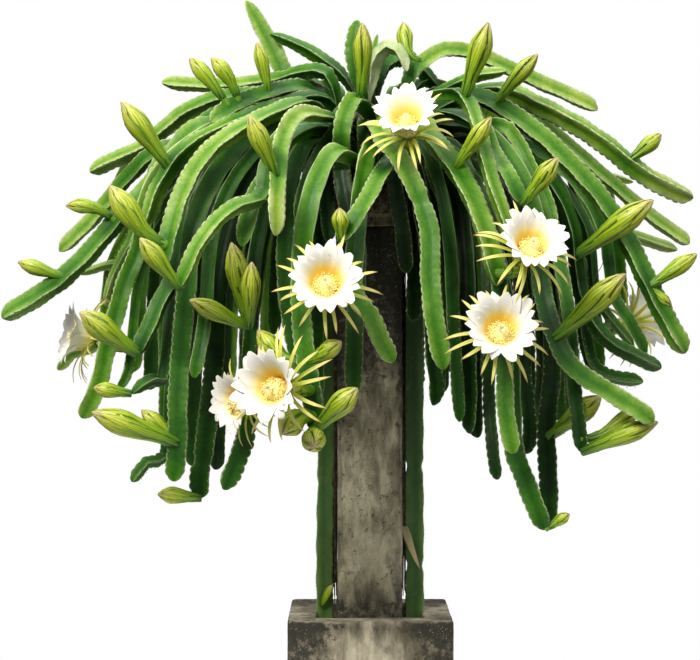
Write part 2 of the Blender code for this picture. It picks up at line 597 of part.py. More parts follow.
def settle(strands, spheres, rounds):
    """Bends the strands clear of each other and of the spheres.

    Away from the crown a stem laid out in the front view only moves along the line of sight, so that it
    keeps its place in that view."""
    rest, radii, owner, limb_of, laid, held, before, after = [], [], [], [], [], [], [], []
    starts = {}
    for number, strand in enumerate(strands):
        starts[id(strand)] = len(rest)
        first, count = len(rest), len(strand.line)
        near_crown = np.linalg.norm(strand.line[:, :2], axis=1) < HELD_RADIUS
        sizes = strand.radius(arc_length(strand.line))
        for k in range(count):
            rest.append(strand.line[k])
            radii.append(sizes[k])
            owner.append(number)
            limb_of.append(strand.limb)
            laid.append(strand.laid)
            held.append(strand.fixed or k == 0 or near_crown[k] or (strand.kind == "tube" and k >= count - 3))
            before.append(max(first, first + k - 1))
            after.append(min(first + count - 1, first + k + 1))
    moving = len(rest)
    for center, radius, number in spheres:
        rest.append(center)
        radii.append(radius)
        owner.append(number)
        limb_of.append("")
        laid.append(False)
        held.append(True)
    rest, radii, owner = np.array(rest), np.array(radii), np.array(owner)
    limb_of, laid, held = np.array(limb_of), np.array(laid), np.array(held)
    before, after = np.array(before), np.array(after)
    pins = [(starts[id(s)], starts[id(s.parent[0])] + s.parent[1]) for s in strands if s.parent]
    parent_of = {number: {owner[starts[id(s.parent[0])]]} for number, s in enumerate(strands) if s.parent}
    sight = np.array((SIGHT_ACROSS, -SIGHT_RANGE, SIGHT_HEIGHT))
    offset = np.zeros_like(rest)
    for turn in range(rounds):
        now = rest + offset
        if turn % 8 == 0:
            squares = (now ** 2).sum(axis=1)
            apart = squares[:, None] + squares[None, :] - 2.0 * now @ now.T
            reach = radii[:, None] + radii[None, :] + 0.03
            one, two = np.nonzero(np.triu(apart < reach ** 2, 1))
            keep = (owner[one] != owner[two]) & ~(held[one] & held[two])
            one, two = one[keep], two[keep]
            outside = np.minimum(np.linalg.norm(now[one, :2], axis=1), np.linalg.norm(now[two, :2], axis=1))
            keep = (limb_of[one] != limb_of[two]) | (outside > SAME_LIMB_RADIUS)
            kin = np.array([b in parent_of.get(a, ()) or a in parent_of.get(b, ())
                            for a, b in zip(owner[one], owner[two])], dtype=bool)
            keep &= ~kin
            one, two = one[keep], two[keep]
            ray = now - sight
            ray /= np.linalg.norm(ray, axis=1)[:, None]
            radial = np.linalg.norm(now[:, :2], axis=1)
            along_ray = np.clip((radial - 0.16) / 0.12, 0.0, 1.0) * laid
        apart = now[one] - now[two]
        distance = np.maximum(np.linalg.norm(apart, axis=1), 1e-6)
        kindred = np.where(limb_of[one] == limb_of[two], KINDRED, 1.0)
        needed = kindred * (radii[one] + radii[two] + CLEARANCE)
        close = distance < needed
        a, b, gap, distance, needed = one[close], two[close], apart[close], distance[close], needed[close]
        share_a = np.where(held[b], 1.0, 0.5)[:, None]
        share_b = np.where(held[a], 1.0, 0.5)[:, None]
        away = gap / distance[:, None] * (needed - distance)[:, None]
        push = np.zeros_like(rest)
        weight = np.zeros(len(rest))
        behind = (gap * ray[a]).sum(axis=1)
        crossing = np.unique(owner[a] * len(rest) + owner[b], return_inverse=True)[1]
        order = np.where(np.bincount(crossing, weights=behind)[crossing] >= 0.0, 1.0, -1.0)
        for end, sign, share in ((a, 1.0, share_a), (b, -1.0, share_b)):
            level = (gap * ray[end]).sum(axis=1)
            cross = np.maximum(distance ** 2 - level ** 2, 0.0)
            wanted = np.sqrt(np.maximum(needed ** 2 - cross, 0.0)) - order * level
            in_depth = ray[end] * (np.clip(wanted, 0.0, 0.03) * order * sign)[:, None]
            blend = along_ray[end][:, None]
            np.add.at(push, end, (blend * in_depth + (1.0 - blend) * away * sign) * share)
            np.add.at(weight, end, 1.0)
        push /= np.maximum(weight, 1.0)[:, None]
        push[held] = 0.0
        offset += 0.9 * push
        body = offset[:moving]
        body = np.where(held[:moving, None], 0.0, 0.20 * body[before] + 0.60 * body + 0.20 * body[after])
        offset[:moving] = body
        for child, parent in pins:
            offset[child] = rest[parent] + offset[parent] - rest[child]
    now = rest + offset
    for strand in strands:
        first = starts[id(strand)]
        line = now[first:first + len(strand.line)].copy()
        if strand.kind == "bud":
            for _ in range(3):
                line[1:-1] = 0.5 * line[1:-1] + 0.25 * (line[:-2] + line[2:])
        strand.line = line


def loft(rings):
    """A closed body through rings of points, made by drawing out the end face ring by ring."""
    bm = bmesh.new()
    bmesh.ops.create_circle(bm, cap_ends=True, segments=len(rings[0]), radius=0.01)
    face = next(iter(bm.faces))
    for vert, place in zip(face.verts, rings[0]):
        vert.co = place
    for ring in rings[1:]:
        face = bmesh.ops.extrude_discrete_faces(bm, faces=[face])["faces"][0]
        for vert, place in zip(face.verts, ring):
            vert.co = place
    bmesh.ops.holes_fill(bm, edges=[edge for edge in bm.edges if edge.is_boundary])
    bmesh.ops.remove_doubles(bm, verts=bm.verts, dist=1e-6)
    bmesh.ops.triangulate(bm, faces=bm.faces)
    return bm


def bend_places(line, end, longest):
    """Places along a line up to an end: one after each bend, and none further apart than the longest step."""
    along = arc_length(line)
    steps = np.diff(line, axis=0)
    steps /= np.linalg.norm(steps, axis=1)[:, None]
    places, turned = [0.0], 0.0
    for k in range(1, len(steps)):
        turned += math.acos(min(1.0, max(-1.0, float(steps[k] @ steps[k - 1]))))
        if along[k] > end - 0.03:
            break
        if turned > BEND_LIMIT or along[k] - places[-1] > longest:
            places.append(along[k])
            turned = 0.0
    return places


def ring_places(strand):
    """How far along a stem its rings are: sparse where hidden, then one on each crest and notch."""
    total = strand.length()
    shoulder = total - TIP_LENGTH
    if strand.laid:
        hidden = max(0.0, min(strand.hidden, shoulder - SCALLOP_STEP))
        places = bend_places(strand.line, hidden, HIDDEN_STEP) if hidden > 0.0 else []
        places += list(np.linspace(hidden, shoulder, max(3, round((shoulder - hidden) / SCALLOP_STEP) + 1)))
    else:
        places = bend_places(strand.line, shoulder, REAR_STEP) + [shoulder]
    for joint, _ in strand.joints:
        places = [p for p in places if abs(p - joint) > JOINT_RING + 0.004]
        places += [joint - JOINT_RING, joint, joint + JOINT_RING]
    places += [total - 0.35 * TIP_LENGTH, total]
    return np.array(sorted(places))


def frames(line, places):
    """The centre, direction and two sideways directions at places along a line, with no twist."""
    along = arc_length(line)
    reach = 0.5 * LINE_STEP
    centers = np.column_stack([np.interp(places, along, line[:, k]) for k in range(3)])
    ahead = np.column_stack([np.interp(places + reach, along, line[:, k]) for k in range(3)])
    behind = np.column_stack([np.interp(places - reach, along, line[:, k]) for k in range(3)])
    tangents = (ahead - behind) / np.linalg.norm(ahead - behind, axis=1)[:, None]
    guess = np.array((0.0, 0.0, 1.0)) if abs(tangents[0, 2]) < 0.9 else np.array((1.0, 0.0, 0.0))
    sides = []
    for tangent in tangents:
        guess = guess - tangent * np.dot(guess, tangent)
        guess = guess / np.linalg.norm(guess)
        sides.append(guess)
    sides = np.array(sides)
    return centers, tangents, sides, np.cross(tangents, sides)


def facing_turn(strand, places):
    """The turn that sets one face of a stem outward, and toward the viewer where it is seen."""
    _, tangents, sides, others = frames(strand.line, places)
    middle = int(len(places) * 0.65)
    outward = strand.line[-1] * np.array((1.0, 1.0, 0.0))
    outward = outward / max(np.linalg.norm(outward), 1e-6)
    wanted = np.array((0.0, -0.85, 0.5)) if strand.laid else outward + np.array((0.0, 0.0, 0.6))
    wanted = wanted - tangents[middle] * np.dot(wanted, tangents[middle])
    return math.atan2(np.dot(wanted, others[middle]), np.dot(wanted, sides[middle])) + strand.swing


def stem_body(strand):
    """A three-ribbed stem with scalloped ribs."""
    places = ring_places(strand)
    centers, _, sides, others = frames(strand.line, places)
    turn = facing_turn(strand, places)
    sizes = strand.radius(places)
    rings = []
    for k, (center, size) in enumerate(zip(centers, sizes)):
        scale = size * (CREST if k % 2 else NOTCH)
        ring = []
        for corner in range(3):
            angle = turn + math.pi / 3.0 + corner * 2.0 * math.pi / 3.0
            ring.append(center + scale * (math.cos(angle) * sides[k] + math.sin(angle) * others[k]))
        rings.append(ring)
    return loft(rings)


def round_body(strand, shares, corners):
    """A bud or a tube: round, or with a ridge on each corner."""
    places = np.array(shares) * strand.length()
    centers, _, sides, others = frames(strand.line, places)
    sizes = strand.radius(places)
    rings = []
    for k, (center, size) in enumerate(zip(centers, sizes)):
        rings.append([center + size * (math.cos(t) * sides[k] + math.sin(t) * others[k])
                      for t in (2.0 * math.pi * c / corners for c in range(corners))])
    return loft(rings)


def strand_body(strand):
    if strand.kind == "bud":
        lead = min(0.5, strand.hidden / strand.length())
        shares = [0.0] + [lead + (1.0 - lead) * s for s in (0.20, 0.50, 0.80, 1.0)]
        return round_body(strand, shares, 5)
    if strand.kind == "tube":
        return round_body(strand, (0.0, 0.3, 0.6, 0.8, 1.0), 7)
    return stem_body(strand)


def evaluated_mesh(thing):
    """The mesh of an object with its modifiers applied."""
    depsgraph = bpy.context.evaluated_depsgraph_get()
    return bpy.data.meshes.new_from_object(thing.evaluated_get(depsgraph))


def fused(base, bodies):
    """Joins bodies to a base object by one Boolean union, and keeps the one body that holds together."""
    group = bpy.data.collections.new(base.name + "_growth")
    bpy.context.scene.collection.children.link(group)
    for number, bm in enumerate(bodies):
        add_object(f"{base.name}_growth_{number}", bm, group, "stem")
    union = base.modifiers.new("Union", "BOOLEAN")
    union.operation = "UNION"
    union.operand_type = "COLLECTION"
    union.collection = group
    union.solver = UNION_SOLVER
    mesh = evaluated_mesh(base)
    base.modifiers.clear()
    base.data = mesh
    for thing in list(group.objects):
        bpy.data.objects.remove(thing)
    bpy.data.collections.remove(group)
    keep_main_body(base)
    return base


def islands(bm):
    """The groups of faces that hang together."""
    left = set(bm.faces)
    groups = []
    while left:
        stack = [left.pop()]
        group = []
        while stack:
            face = stack.pop()
            group.append(face)
            for edge in face.edges:
                for neighbor in edge.link_faces:
                    if neighbor in left:
                        left.remove(neighbor)
                        stack.append(neighbor)
        groups.append(group)
    return groups


def keep_main_body(thing):
    """Fills sealed hollows and drops loose scraps."""
    bm = bmesh.new()
    bm.from_mesh(thing.data)
    groups = sorted(islands(bm), key=len, reverse=True)
    scraps = [face for group in groups[1:] for face in group]
    if scraps:
        bmesh.ops.delete(bm, geom=scraps, context="FACES")
    bmesh.ops.triangulate(bm, faces=bm.faces)
    bm.to_mesh(thing.data)
    bm.free()
    thing.data.shade_smooth()
    thing.data.set_sharp_from_angle(angle=SHARP_ANGLE)


def collar(limb, collection):
    """The swollen foot of a limb: one block of the ring that stands on the cap round the crown."""
    heading = limb_heading(limb)
    half = math.tan(0.5 * LIMB_ANGLE)
    inner = CROWN_RADIUS + GAP
    bottom = CAP_TOP + GAP
    bm = box((COLLAR_RADIUS - inner, 1.0, COLLAR_TOP - bottom),
             (0.5 * (COLLAR_RADIUS + inner), 0.0, 0.5 * (COLLAR_TOP + bottom)))
    for vert in bm.verts:
        side = vert.co.x * half - 0.5 * GAP / math.cos(0.5 * LIMB_ANGLE)
        vert.co.y = side if vert.co.y > 0.0 else -side
    bmesh.ops.rotate(bm, verts=bm.verts, cent=(0, 0, 0), matrix=Matrix.Rotation(heading, 3, "Z"))
    bmesh.ops.triangulate(bm, faces=bm.faces)
    return add_object(limb, bm, collection, "stem")


def crown_core(collection):
    """The middle of the crown: a twelve-sided drum with a domed top."""
    bm = bmesh.new()
    sides = len(LIMBS)
    radius = CROWN_RADIUS / math.cos(math.pi / sides)
    bottom = CAP_TOP + GAP
    turn = Matrix.Rotation(0.5 * LIMB_ANGLE, 4, "Z")
    place = Matrix.Translation((0.0, 0.0, 0.5 * (bottom + CROWN_TOP))) @ turn
    bmesh.ops.create_cone(bm, cap_ends=True, segments=sides, radius1=radius, radius2=radius,
                          depth=CROWN_TOP - bottom, matrix=place)
    bm.normal_update()
    top = [face for face in bm.faces if face.normal.z > 0.9]
    bmesh.ops.inset_region(bm, faces=top, thickness=CROWN_DOME_INSET, depth=CROWN_DOME)
    bmesh.ops.triangulate(bm, faces=bm.faces)
    return add_object("crown", bm, collection, "crown")


def add_planter(collection):
    outer = box((PLANTER_WIDTH, PLANTER_WIDTH, PLANTER_HEIGHT), (0.0, 0.0, 0.5 * PLANTER_HEIGHT))
    top = [face for face in outer.faces if face.normal.z > 0.9]
    bmesh.ops.inset_region(outer, faces=top, thickness=PLANTER_WALL)
    bottom = bmesh.ops.extrude_discrete_faces(outer, faces=top)["faces"]
    for vert in bottom[0].verts:
        vert.co.z = PLANTER_FLOOR
    half = 0.5 * PLANTER_WIDTH
    bevel_edges(outer, PLANTER_EDGE, lambda edge: all(
        max(abs(vert.co.x), abs(vert.co.y)) > half - 1e-4 and vert.co.z > -0.01 for vert in edge.verts)
        and not all(vert.co.z < 1e-4 for vert in edge.verts) and not is_flat_diagonal(edge))
    return add_object("planter", outer, collection, "planter")


def is_flat_diagonal(edge):
    """True for an edge that crosses the rim from an outer to an inner corner."""
    low, high = (vert.co for vert in edge.verts)
    return abs(abs(low.x) - abs(high.x)) > 1e-4 and abs(abs(low.y) - abs(high.y)) > 1e-4


def add_soil(collection, climbers):
    width = PLANTER_WIDTH - 2.0 * PLANTER_WALL - 2.0 * GAP
    bottom, top = PLANTER_FLOOR + GAP, PLANTER_HEIGHT - SOIL_DROP
    block = box((width, width, top - bottom), (0.0, 0.0, 0.5 * (top + bottom)))
    soil = add_object("soil", block, collection, "soil")
    cutters = bpy.data.collections.new("cutters")
    bpy.context.scene.collection.children.link(cutters)
    opening = POST_WIDTH + 2.0 * GAP
    shaft = add_object("post_shaft", box((opening, opening, 0.5), (0.0, 0.0, 0.20)), cutters, "soil")
    tools = [shaft]
    for number, climber in enumerate(climbers):
        foot = climber.line[0]
        radius = climber.width * CORNER * CREST + SOIL_HOLE_CLEARANCE
        bm = bmesh.new()
        bmesh.ops.create_cone(bm, cap_ends=True, segments=10, radius1=radius, radius2=radius, depth=0.30,
                              matrix=Matrix.Translation((foot[0], foot[1], foot[2] - GAP + 0.15)))
        tools.append(add_object(f"stem_hole_{number}", bm, cutters, "soil"))
    for tool in tools:
        tool.hide_render = True
        tool.display_type = "WIRE"
    cut = soil.modifiers.new("Holes", "BOOLEAN")
    cut.operation = "DIFFERENCE"
    cut.operand_type = "COLLECTION"
    cut.collection = cutters
    cut.solver = "EXACT"
    soil.data = evaluated_mesh(soil)
    soil.modifiers.clear()
    for tool in tools:
        bpy.data.objects.remove(tool)
    bpy.data.collections.remove(cutters)
    keep_main_body(soil)
    return soil


def add_post(collection):
    bottom, top = PLANTER_FLOOR + GAP, POST_TOP - GAP
    bm = box((POST_WIDTH, POST_WIDTH, top - bottom), (0.0, 0.0, 0.5 * (top + bottom)))
    bevel_edges(bm, POST_EDGE, is_upright)
    return add_object("post", bm, collection, "post")


def add_cap(collection):
    bottom = POST_TOP
    height = CAP_TOP - bottom - CAP_FOOT
    bm = box((CAP_WIDTH, CAP_WIDTH, height), (0.0, 0.0, CAP_TOP - 0.5 * height))
    bevel_edges(bm, CAP_EDGE, lambda edge: True)
    bm.normal_update()
    under = max((face for face in bm.faces if face.normal.z < -0.9), key=lambda face: face.calc_area())
    bmesh.ops.inset_region(bm, faces=[under], thickness=CAP_FOOT_INSET)
    foot = bmesh.ops.extrude_discrete_faces(bm, faces=[under])["faces"][0]
    for vert in foot.verts:
        vert.co.z = bottom
    return add_object("cap", bm, collection, "cap")


def drum(center, side, axis, radius, height, corners):
    """A short drum that stands on a point, along an axis, a corner half a step off its side direction."""
    bm = bmesh.new()
    other = axis.cross(side)
    turn = Matrix((side, other, axis)).transposed().to_4x4() @ Matrix.Rotation(math.pi / corners, 4, "Z")
    bmesh.ops.create_cone(bm, cap_ends=True, segments=corners, radius1=radius, radius2=radius,
                          depth=height, matrix=Matrix.Translation(center + axis * height * 0.5) @ turn)
    bm.normal_update()
    return bm


def drawn_out(bm, face, stations, axis):
    """Draws a side face of a drum out into a blade.

    Each station is a middle, a half width and a half thickness. The last one is the tip."""
    away = face.normal.copy()
    across = axis.cross(away).normalized()
    for middle, half_width, half_thickness in stations:
        center = face.calc_center_median()
        signs = [(1.0 if (vert.co - center).dot(across) > 0.0 else -1.0,
                  1.0 if (vert.co - center).dot(axis) > 0.0 else -1.0) for vert in face.verts]
        face = bmesh.ops.extrude_discrete_faces(bm, faces=[face])["faces"][0]
        rise = (middle - center).normalized()
        back = rise.cross(across).normalized()
        if back.dot(axis) < 0.0:
            back = -back
        for vert, (left, up) in zip(face.verts, signs):
            vert.co = middle + across * half_width * left + back * half_thickness * up


def side_faces(bm, axis):
    """The faces round a drum, in the order made."""
    return [face for face in bm.faces if abs(face.normal.dot(axis)) < 0.1]


def closed_bloom(bm):
    """Merges the tips and splits every face into triangles."""
    bmesh.ops.remove_doubles(bm, verts=bm.verts, dist=1e-5)
    bmesh.ops.triangulate(bm, faces=bm.faces)
    return bm


def add_flower(number, flower, collection):
    """One open flower as three nodes, one on the other: tepals, white petals, stamens."""
    side, other, axis = flower_axes(flower[2])
    size = flower[3]
    draw = random.Random(100 + number)
    name = f"flower_{number}"

    foot = Vector(flower_foot(flower)) + axis * GAP
    bm = drum(foot, side, axis, DISC_RADIUS * size, DISC_HEIGHT * size, TEPAL_COUNT)
    for face in side_faces(bm, axis):
        away = face.normal.copy()
        lift = draw.uniform(-0.02, 0.016)
        reach = TEPAL_REACH * draw.uniform(0.88, 1.0)
        middle = foot + (axis * (0.016 + 0.3 * lift) + away * 0.066) * size
        tip = foot + (axis * (0.006 + lift) + away * reach) * size
        drawn_out(bm, face, ((middle, 0.5 * TEPAL_WIDTH * size, 0.0013), (tip, 0.0, 0.0)), axis)
    add_object(name + "_tepals", closed_bloom(bm), collection, "tepals")

    foot = foot + axis * (DISC_HEIGHT * size + GAP)
    bm = drum(foot, side, axis, CUP_RADIUS * size, CUP_HEIGHT * size, PETAL_COUNT)
    top = max(bm.faces, key=lambda face: face.calc_center_median().dot(axis))
    lower = side_faces(bm, axis)
    bmesh.ops.inset_region(bm, faces=[top], thickness=0.25 * CUP_RADIUS * size)
    center = top.calc_center_median()
    bmesh.ops.rotate(bm, verts=top.verts, cent=center, matrix=Matrix.Rotation(math.pi / PETAL_COUNT, 3, axis))
    neck = set(bm.faces)
    raised = bmesh.ops.extrude_discrete_faces(bm, faces=[top])["faces"][0]
    bmesh.ops.translate(bm, verts=raised.verts, vec=axis * CUP_HEIGHT * 0.6 * size)
    bm.normal_update()
    upper = [face for face in bm.faces if face not in neck and face is not raised]
    for faces, (spread, height, width) in zip((lower, upper), PETAL_ROWS):
        for face in faces:
            away = face.normal.copy()
            middle = foot + (axis * height * 0.60 + away * spread * 0.72) * size
            tip = foot + (axis * height * draw.uniform(0.92, 1.0) + away * spread * 1.25) * size
            drawn_out(bm, face, ((middle, 0.5 * width * size, 0.0012), (tip, 0.0, 0.0)), axis)
    add_object(name + "_corolla", closed_bloom(bm), collection, "corolla")

    foot = foot + axis * (CUP_HEIGHT * 1.6 * size + GAP)
    bm = drum(foot, side, axis, 0.007 * size, 0.007 * size, STAMEN_COUNT)
    top = max(bm.faces, key=lambda face: face.calc_center_median().dot(axis))
    style = foot + axis * STAMEN_HEIGHT * size
    for face in side_faces(bm, axis):
        away = face.normal.copy()
        middle = foot + (axis * STAMEN_HEIGHT * 0.55 + away * 0.015) * size
        tip = foot + (axis * STAMEN_HEIGHT * draw.uniform(0.8, 1.0) + away * 0.017) * size
        drawn_out(bm, face, ((middle, 0.0022 * size, 0.0020 * size), (tip, 0.0, 0.0)), axis)
    raised = bmesh.ops.extrude_discrete_faces(bm, faces=[top])["faces"][0]
    for vert in raised.verts:
        vert.co = style
    add_object(name + "_stamens", closed_bloom(bm), collection, "stamens")


def plant_strands():
    """Every stem, bud and tube, bent clear of the others."""
    stems = laid_stems() + rear_stems()
    climbers = climbing_stems()
    spheres = [(center, radius, -1) for center, radius in post_room() + crown_room()]
    blooms = []
    for number, flower in enumerate(FLOWERS):
        blooms += [(center, radius, -2 - number) for center, radius in flower_room(flower)]
    settle(stems + climbers, spheres + blooms, FIRST_ROUNDS)
    buds = grown_buds([stem for stem in stems if stem.laid])
    tubes = flower_tubes([stem for stem in stems if stem.laid])
    everything = stems + climbers + buds + tubes
    settle(everything, spheres + owned_by_tubes(blooms, everything), LAST_ROUNDS)
    draw = random.Random(SWING_SEED)
    for strand in everything:
        strand.swing = draw.uniform(-SWING, SWING)
    return everything, climbers


def owned_by_tubes(blooms, strands):
    """The flowers' spheres, each marked as belonging to the tube that carries it."""
    tubes = [number for number, strand in enumerate(strands) if strand.kind == "tube"]
    return [(center, radius, tubes[-2 - mark]) for center, radius, mark in blooms]


def build():
    for thing in list(bpy.data.objects):
        bpy.data.objects.remove(thing)
    collection = bpy.data.collections.new("dragon_fruit_cactus")
    bpy.context.scene.collection.children.link(collection)
    strands, climbers = plant_strands()
    add_planter(collection)
    add_soil(collection, climbers)
    add_post(collection)
    add_cap(collection)
    fused(crown_core(collection), [strand_body(s) for s in strands if s.limb == "crown"])
    for limb in LIMBS:
        fused(collar(limb, collection), [strand_body(s) for s in strands if s.limb == limb])
    for number, flower in enumerate(FLOWERS, 1):
        add_flower(number, flower, collection)


build()
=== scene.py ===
# Looks of the dragon fruit cactus: stems, buds, blooms, weathered concrete and soil, built round the packed
# model. Metres, +Z up, front to -Y.
import json
import math
import random

import bmesh
import bpy
import numpy as np
from mathutils import Matrix, Vector, noise

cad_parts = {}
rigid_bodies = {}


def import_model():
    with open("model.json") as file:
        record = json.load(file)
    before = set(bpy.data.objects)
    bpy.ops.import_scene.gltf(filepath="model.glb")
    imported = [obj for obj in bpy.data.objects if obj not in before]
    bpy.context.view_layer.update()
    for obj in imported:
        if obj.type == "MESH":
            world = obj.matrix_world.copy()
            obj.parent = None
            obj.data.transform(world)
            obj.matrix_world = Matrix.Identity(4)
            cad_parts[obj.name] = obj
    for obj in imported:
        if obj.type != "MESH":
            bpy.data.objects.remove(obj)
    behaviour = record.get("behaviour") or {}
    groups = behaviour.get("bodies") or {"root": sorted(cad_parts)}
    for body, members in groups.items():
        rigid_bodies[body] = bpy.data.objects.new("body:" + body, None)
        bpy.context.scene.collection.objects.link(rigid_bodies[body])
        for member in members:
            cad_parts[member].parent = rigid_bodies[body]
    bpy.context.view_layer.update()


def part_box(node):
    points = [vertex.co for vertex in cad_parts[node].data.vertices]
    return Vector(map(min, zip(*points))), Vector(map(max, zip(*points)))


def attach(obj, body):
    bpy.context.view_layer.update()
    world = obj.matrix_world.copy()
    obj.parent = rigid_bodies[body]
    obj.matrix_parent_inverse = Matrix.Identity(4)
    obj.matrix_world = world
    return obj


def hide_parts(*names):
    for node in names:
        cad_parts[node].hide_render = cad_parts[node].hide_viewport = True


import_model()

PLANTER_WIDTH = 0.40
PLANTER_HEIGHT = 0.30
PLANTER_WALL = 0.07
PLANTER_FLOOR = 0.06
SOIL_DROP = 0.035
POST_WIDTH = 0.16
POST_TOP = 1.255
CAP_TOP = 1.350
CAP_FOOT = 0.025
CAP_FOOT_INSET = 0.006
CAST_CORNER = 0.008
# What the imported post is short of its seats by, at either end.
GAP = 0.0003

# The crown's top, where a limb's stems start inside it in two columns (distance from the post's axis, turn of
# a column, lowest and highest start), and the distance inside which no point of a stem is moved.
CROWN_TOP = 1.560
ROOT_RADIUS = 0.068
ROOT_TURN = 0.07
HELD_RADIUS = 0.076
ROOT_LOWEST = 1.370
ROOT_HIGHEST = 1.490
# Inside this distance from the post's axis no bud or flower tube is rooted.
BARE_RADIUS = 0.13
CROWN_SPREAD = 0.022

# The front view that the stems are laid out in: a level view from this far in front of the post.
SIGHT_RANGE = 4.80
SIGHT_ACROSS = -0.049
SIGHT_HEIGHT = 1.00

# Spheres kept clear of stems: from height, to height, step and radius, up the post and the cap.
POST_ROOM = ((0.32, 1.22, 0.05, 0.118), (1.24, 1.36, 0.04, 0.145))
CROWN_ROOM = ((1.54, 0.052), (1.57, 0.052))
# The space of an open flower of size 1: how many spheres, their height, reach and radius.
FLOWER_ROOM = ((6, 0.040, 0.040, 0.030), (9, 0.085, 0.062, 0.026), (9, 0.012, 0.060, 0.024),
               (14, 0.004, 0.105, 0.024))

# A three-ribbed stem is given by the width of one face. Its corners lie this much of it from the middle.
CORNER = 1.0 / math.sqrt(3.0)
# The length over which its tip is rounded, and the spacing of the points of a strand's line.
TIP_LENGTH = 0.030
LINE_STEP = 0.030
# How far apart strands are kept, as a share of that within one limb. Nearer to the post's axis than the radius
# below, strands of one limb may touch.
CLEARANCE = 0.010
KINDRED = 0.85
SAME_LIMB_RADIUS = 0.11
# Rounds of bending: of the stems alone, and with the buds and tubes that are rooted in them.
FIRST_ROUNDS = 160
LAST_ROUNDS = 280
# How far a stem is turned at most from the way it would face.
SWING = 0.4
SWING_SEED = 11
# A stem's hidden run leads out and up from its root by this much, then arches over by a share of the way to go,
# up to a limit. A stem that comes into sight nearer than the third value has none.
LEAD_OUT = 0.032
LEAD_UP = 0.018
LEAD_LEAST = 0.08
ARCH_SHARE = 0.10
ARCH_LIMIT = 0.06
# Bending: every how many rounds the close pairs are found, and how far past touching they are looked for; the
# longest push along the line of sight and the share of a push that is taken; how a push spreads to the points
# beside it; and from where on, over what band, a stem moves only along the line of sight.
PAIR_ROUNDS = 8
PAIR_MARGIN = 0.03
LONGEST_PUSH = 0.03
PUSH_SHARE = 0.9
OWN_SHARE = 0.60
BESIDE_SHARE = 0.20
SIGHT_FROM = 0.16
SIGHT_BAND = 0.12
# A bud that starts further than this from its stem has a neck that bridges the gap.
NECK_GAP = 0.03
# Added to the distance of a place that may not be rooted in, so that any other is nearer.
BARRED = 1.0
# A flower's tube: how far behind the seat its tail lies, in cm, its sag, and two places along its axis.
TUBE_BEHIND = 6.0
TUBE_SAG = 0.006
TUBE_BEND = 0.055
TUBE_THROAT = 0.022

# How a radius runs along a strand: places, or shares of the length, and the share of the full radius there.
BUD_BELLY = ((0.0, 0.15, 0.4, 0.62, 0.85, 1.0), (0.42, 0.60, 0.88, 1.0, 0.62, 0.10))
TUBE_FLARE = ((0.0, 0.35, 1.0), (0.72, 0.78, 1.0))
ROOT_TAPER = (0.30, 0.42, 1.0)
ROOT_TAPER_SHORT = (0.0, 0.05, 0.17)
ROOT_TAPER_LONG = (0.0, 0.05, 0.30)
CLIMBER_TAPER = ((0.0, 0.04, 0.08), (0.36, 0.55, 1.0))
JOINT_LENGTH = 0.014

# The limbs go round the crown every 30 degrees, from the right (+X) by the back (+Y).
LIMBS = ("stems_right", "stems_right_back", "stems_back_right", "stems_back", "stems_back_left",
         "stems_left_back", "stems_left", "stems_left_front", "stems_front_left", "stems_front",
         "stems_front_right", "stems_right_front")
LIMB_ANGLE = 2.0 * math.pi / len(LIMBS)

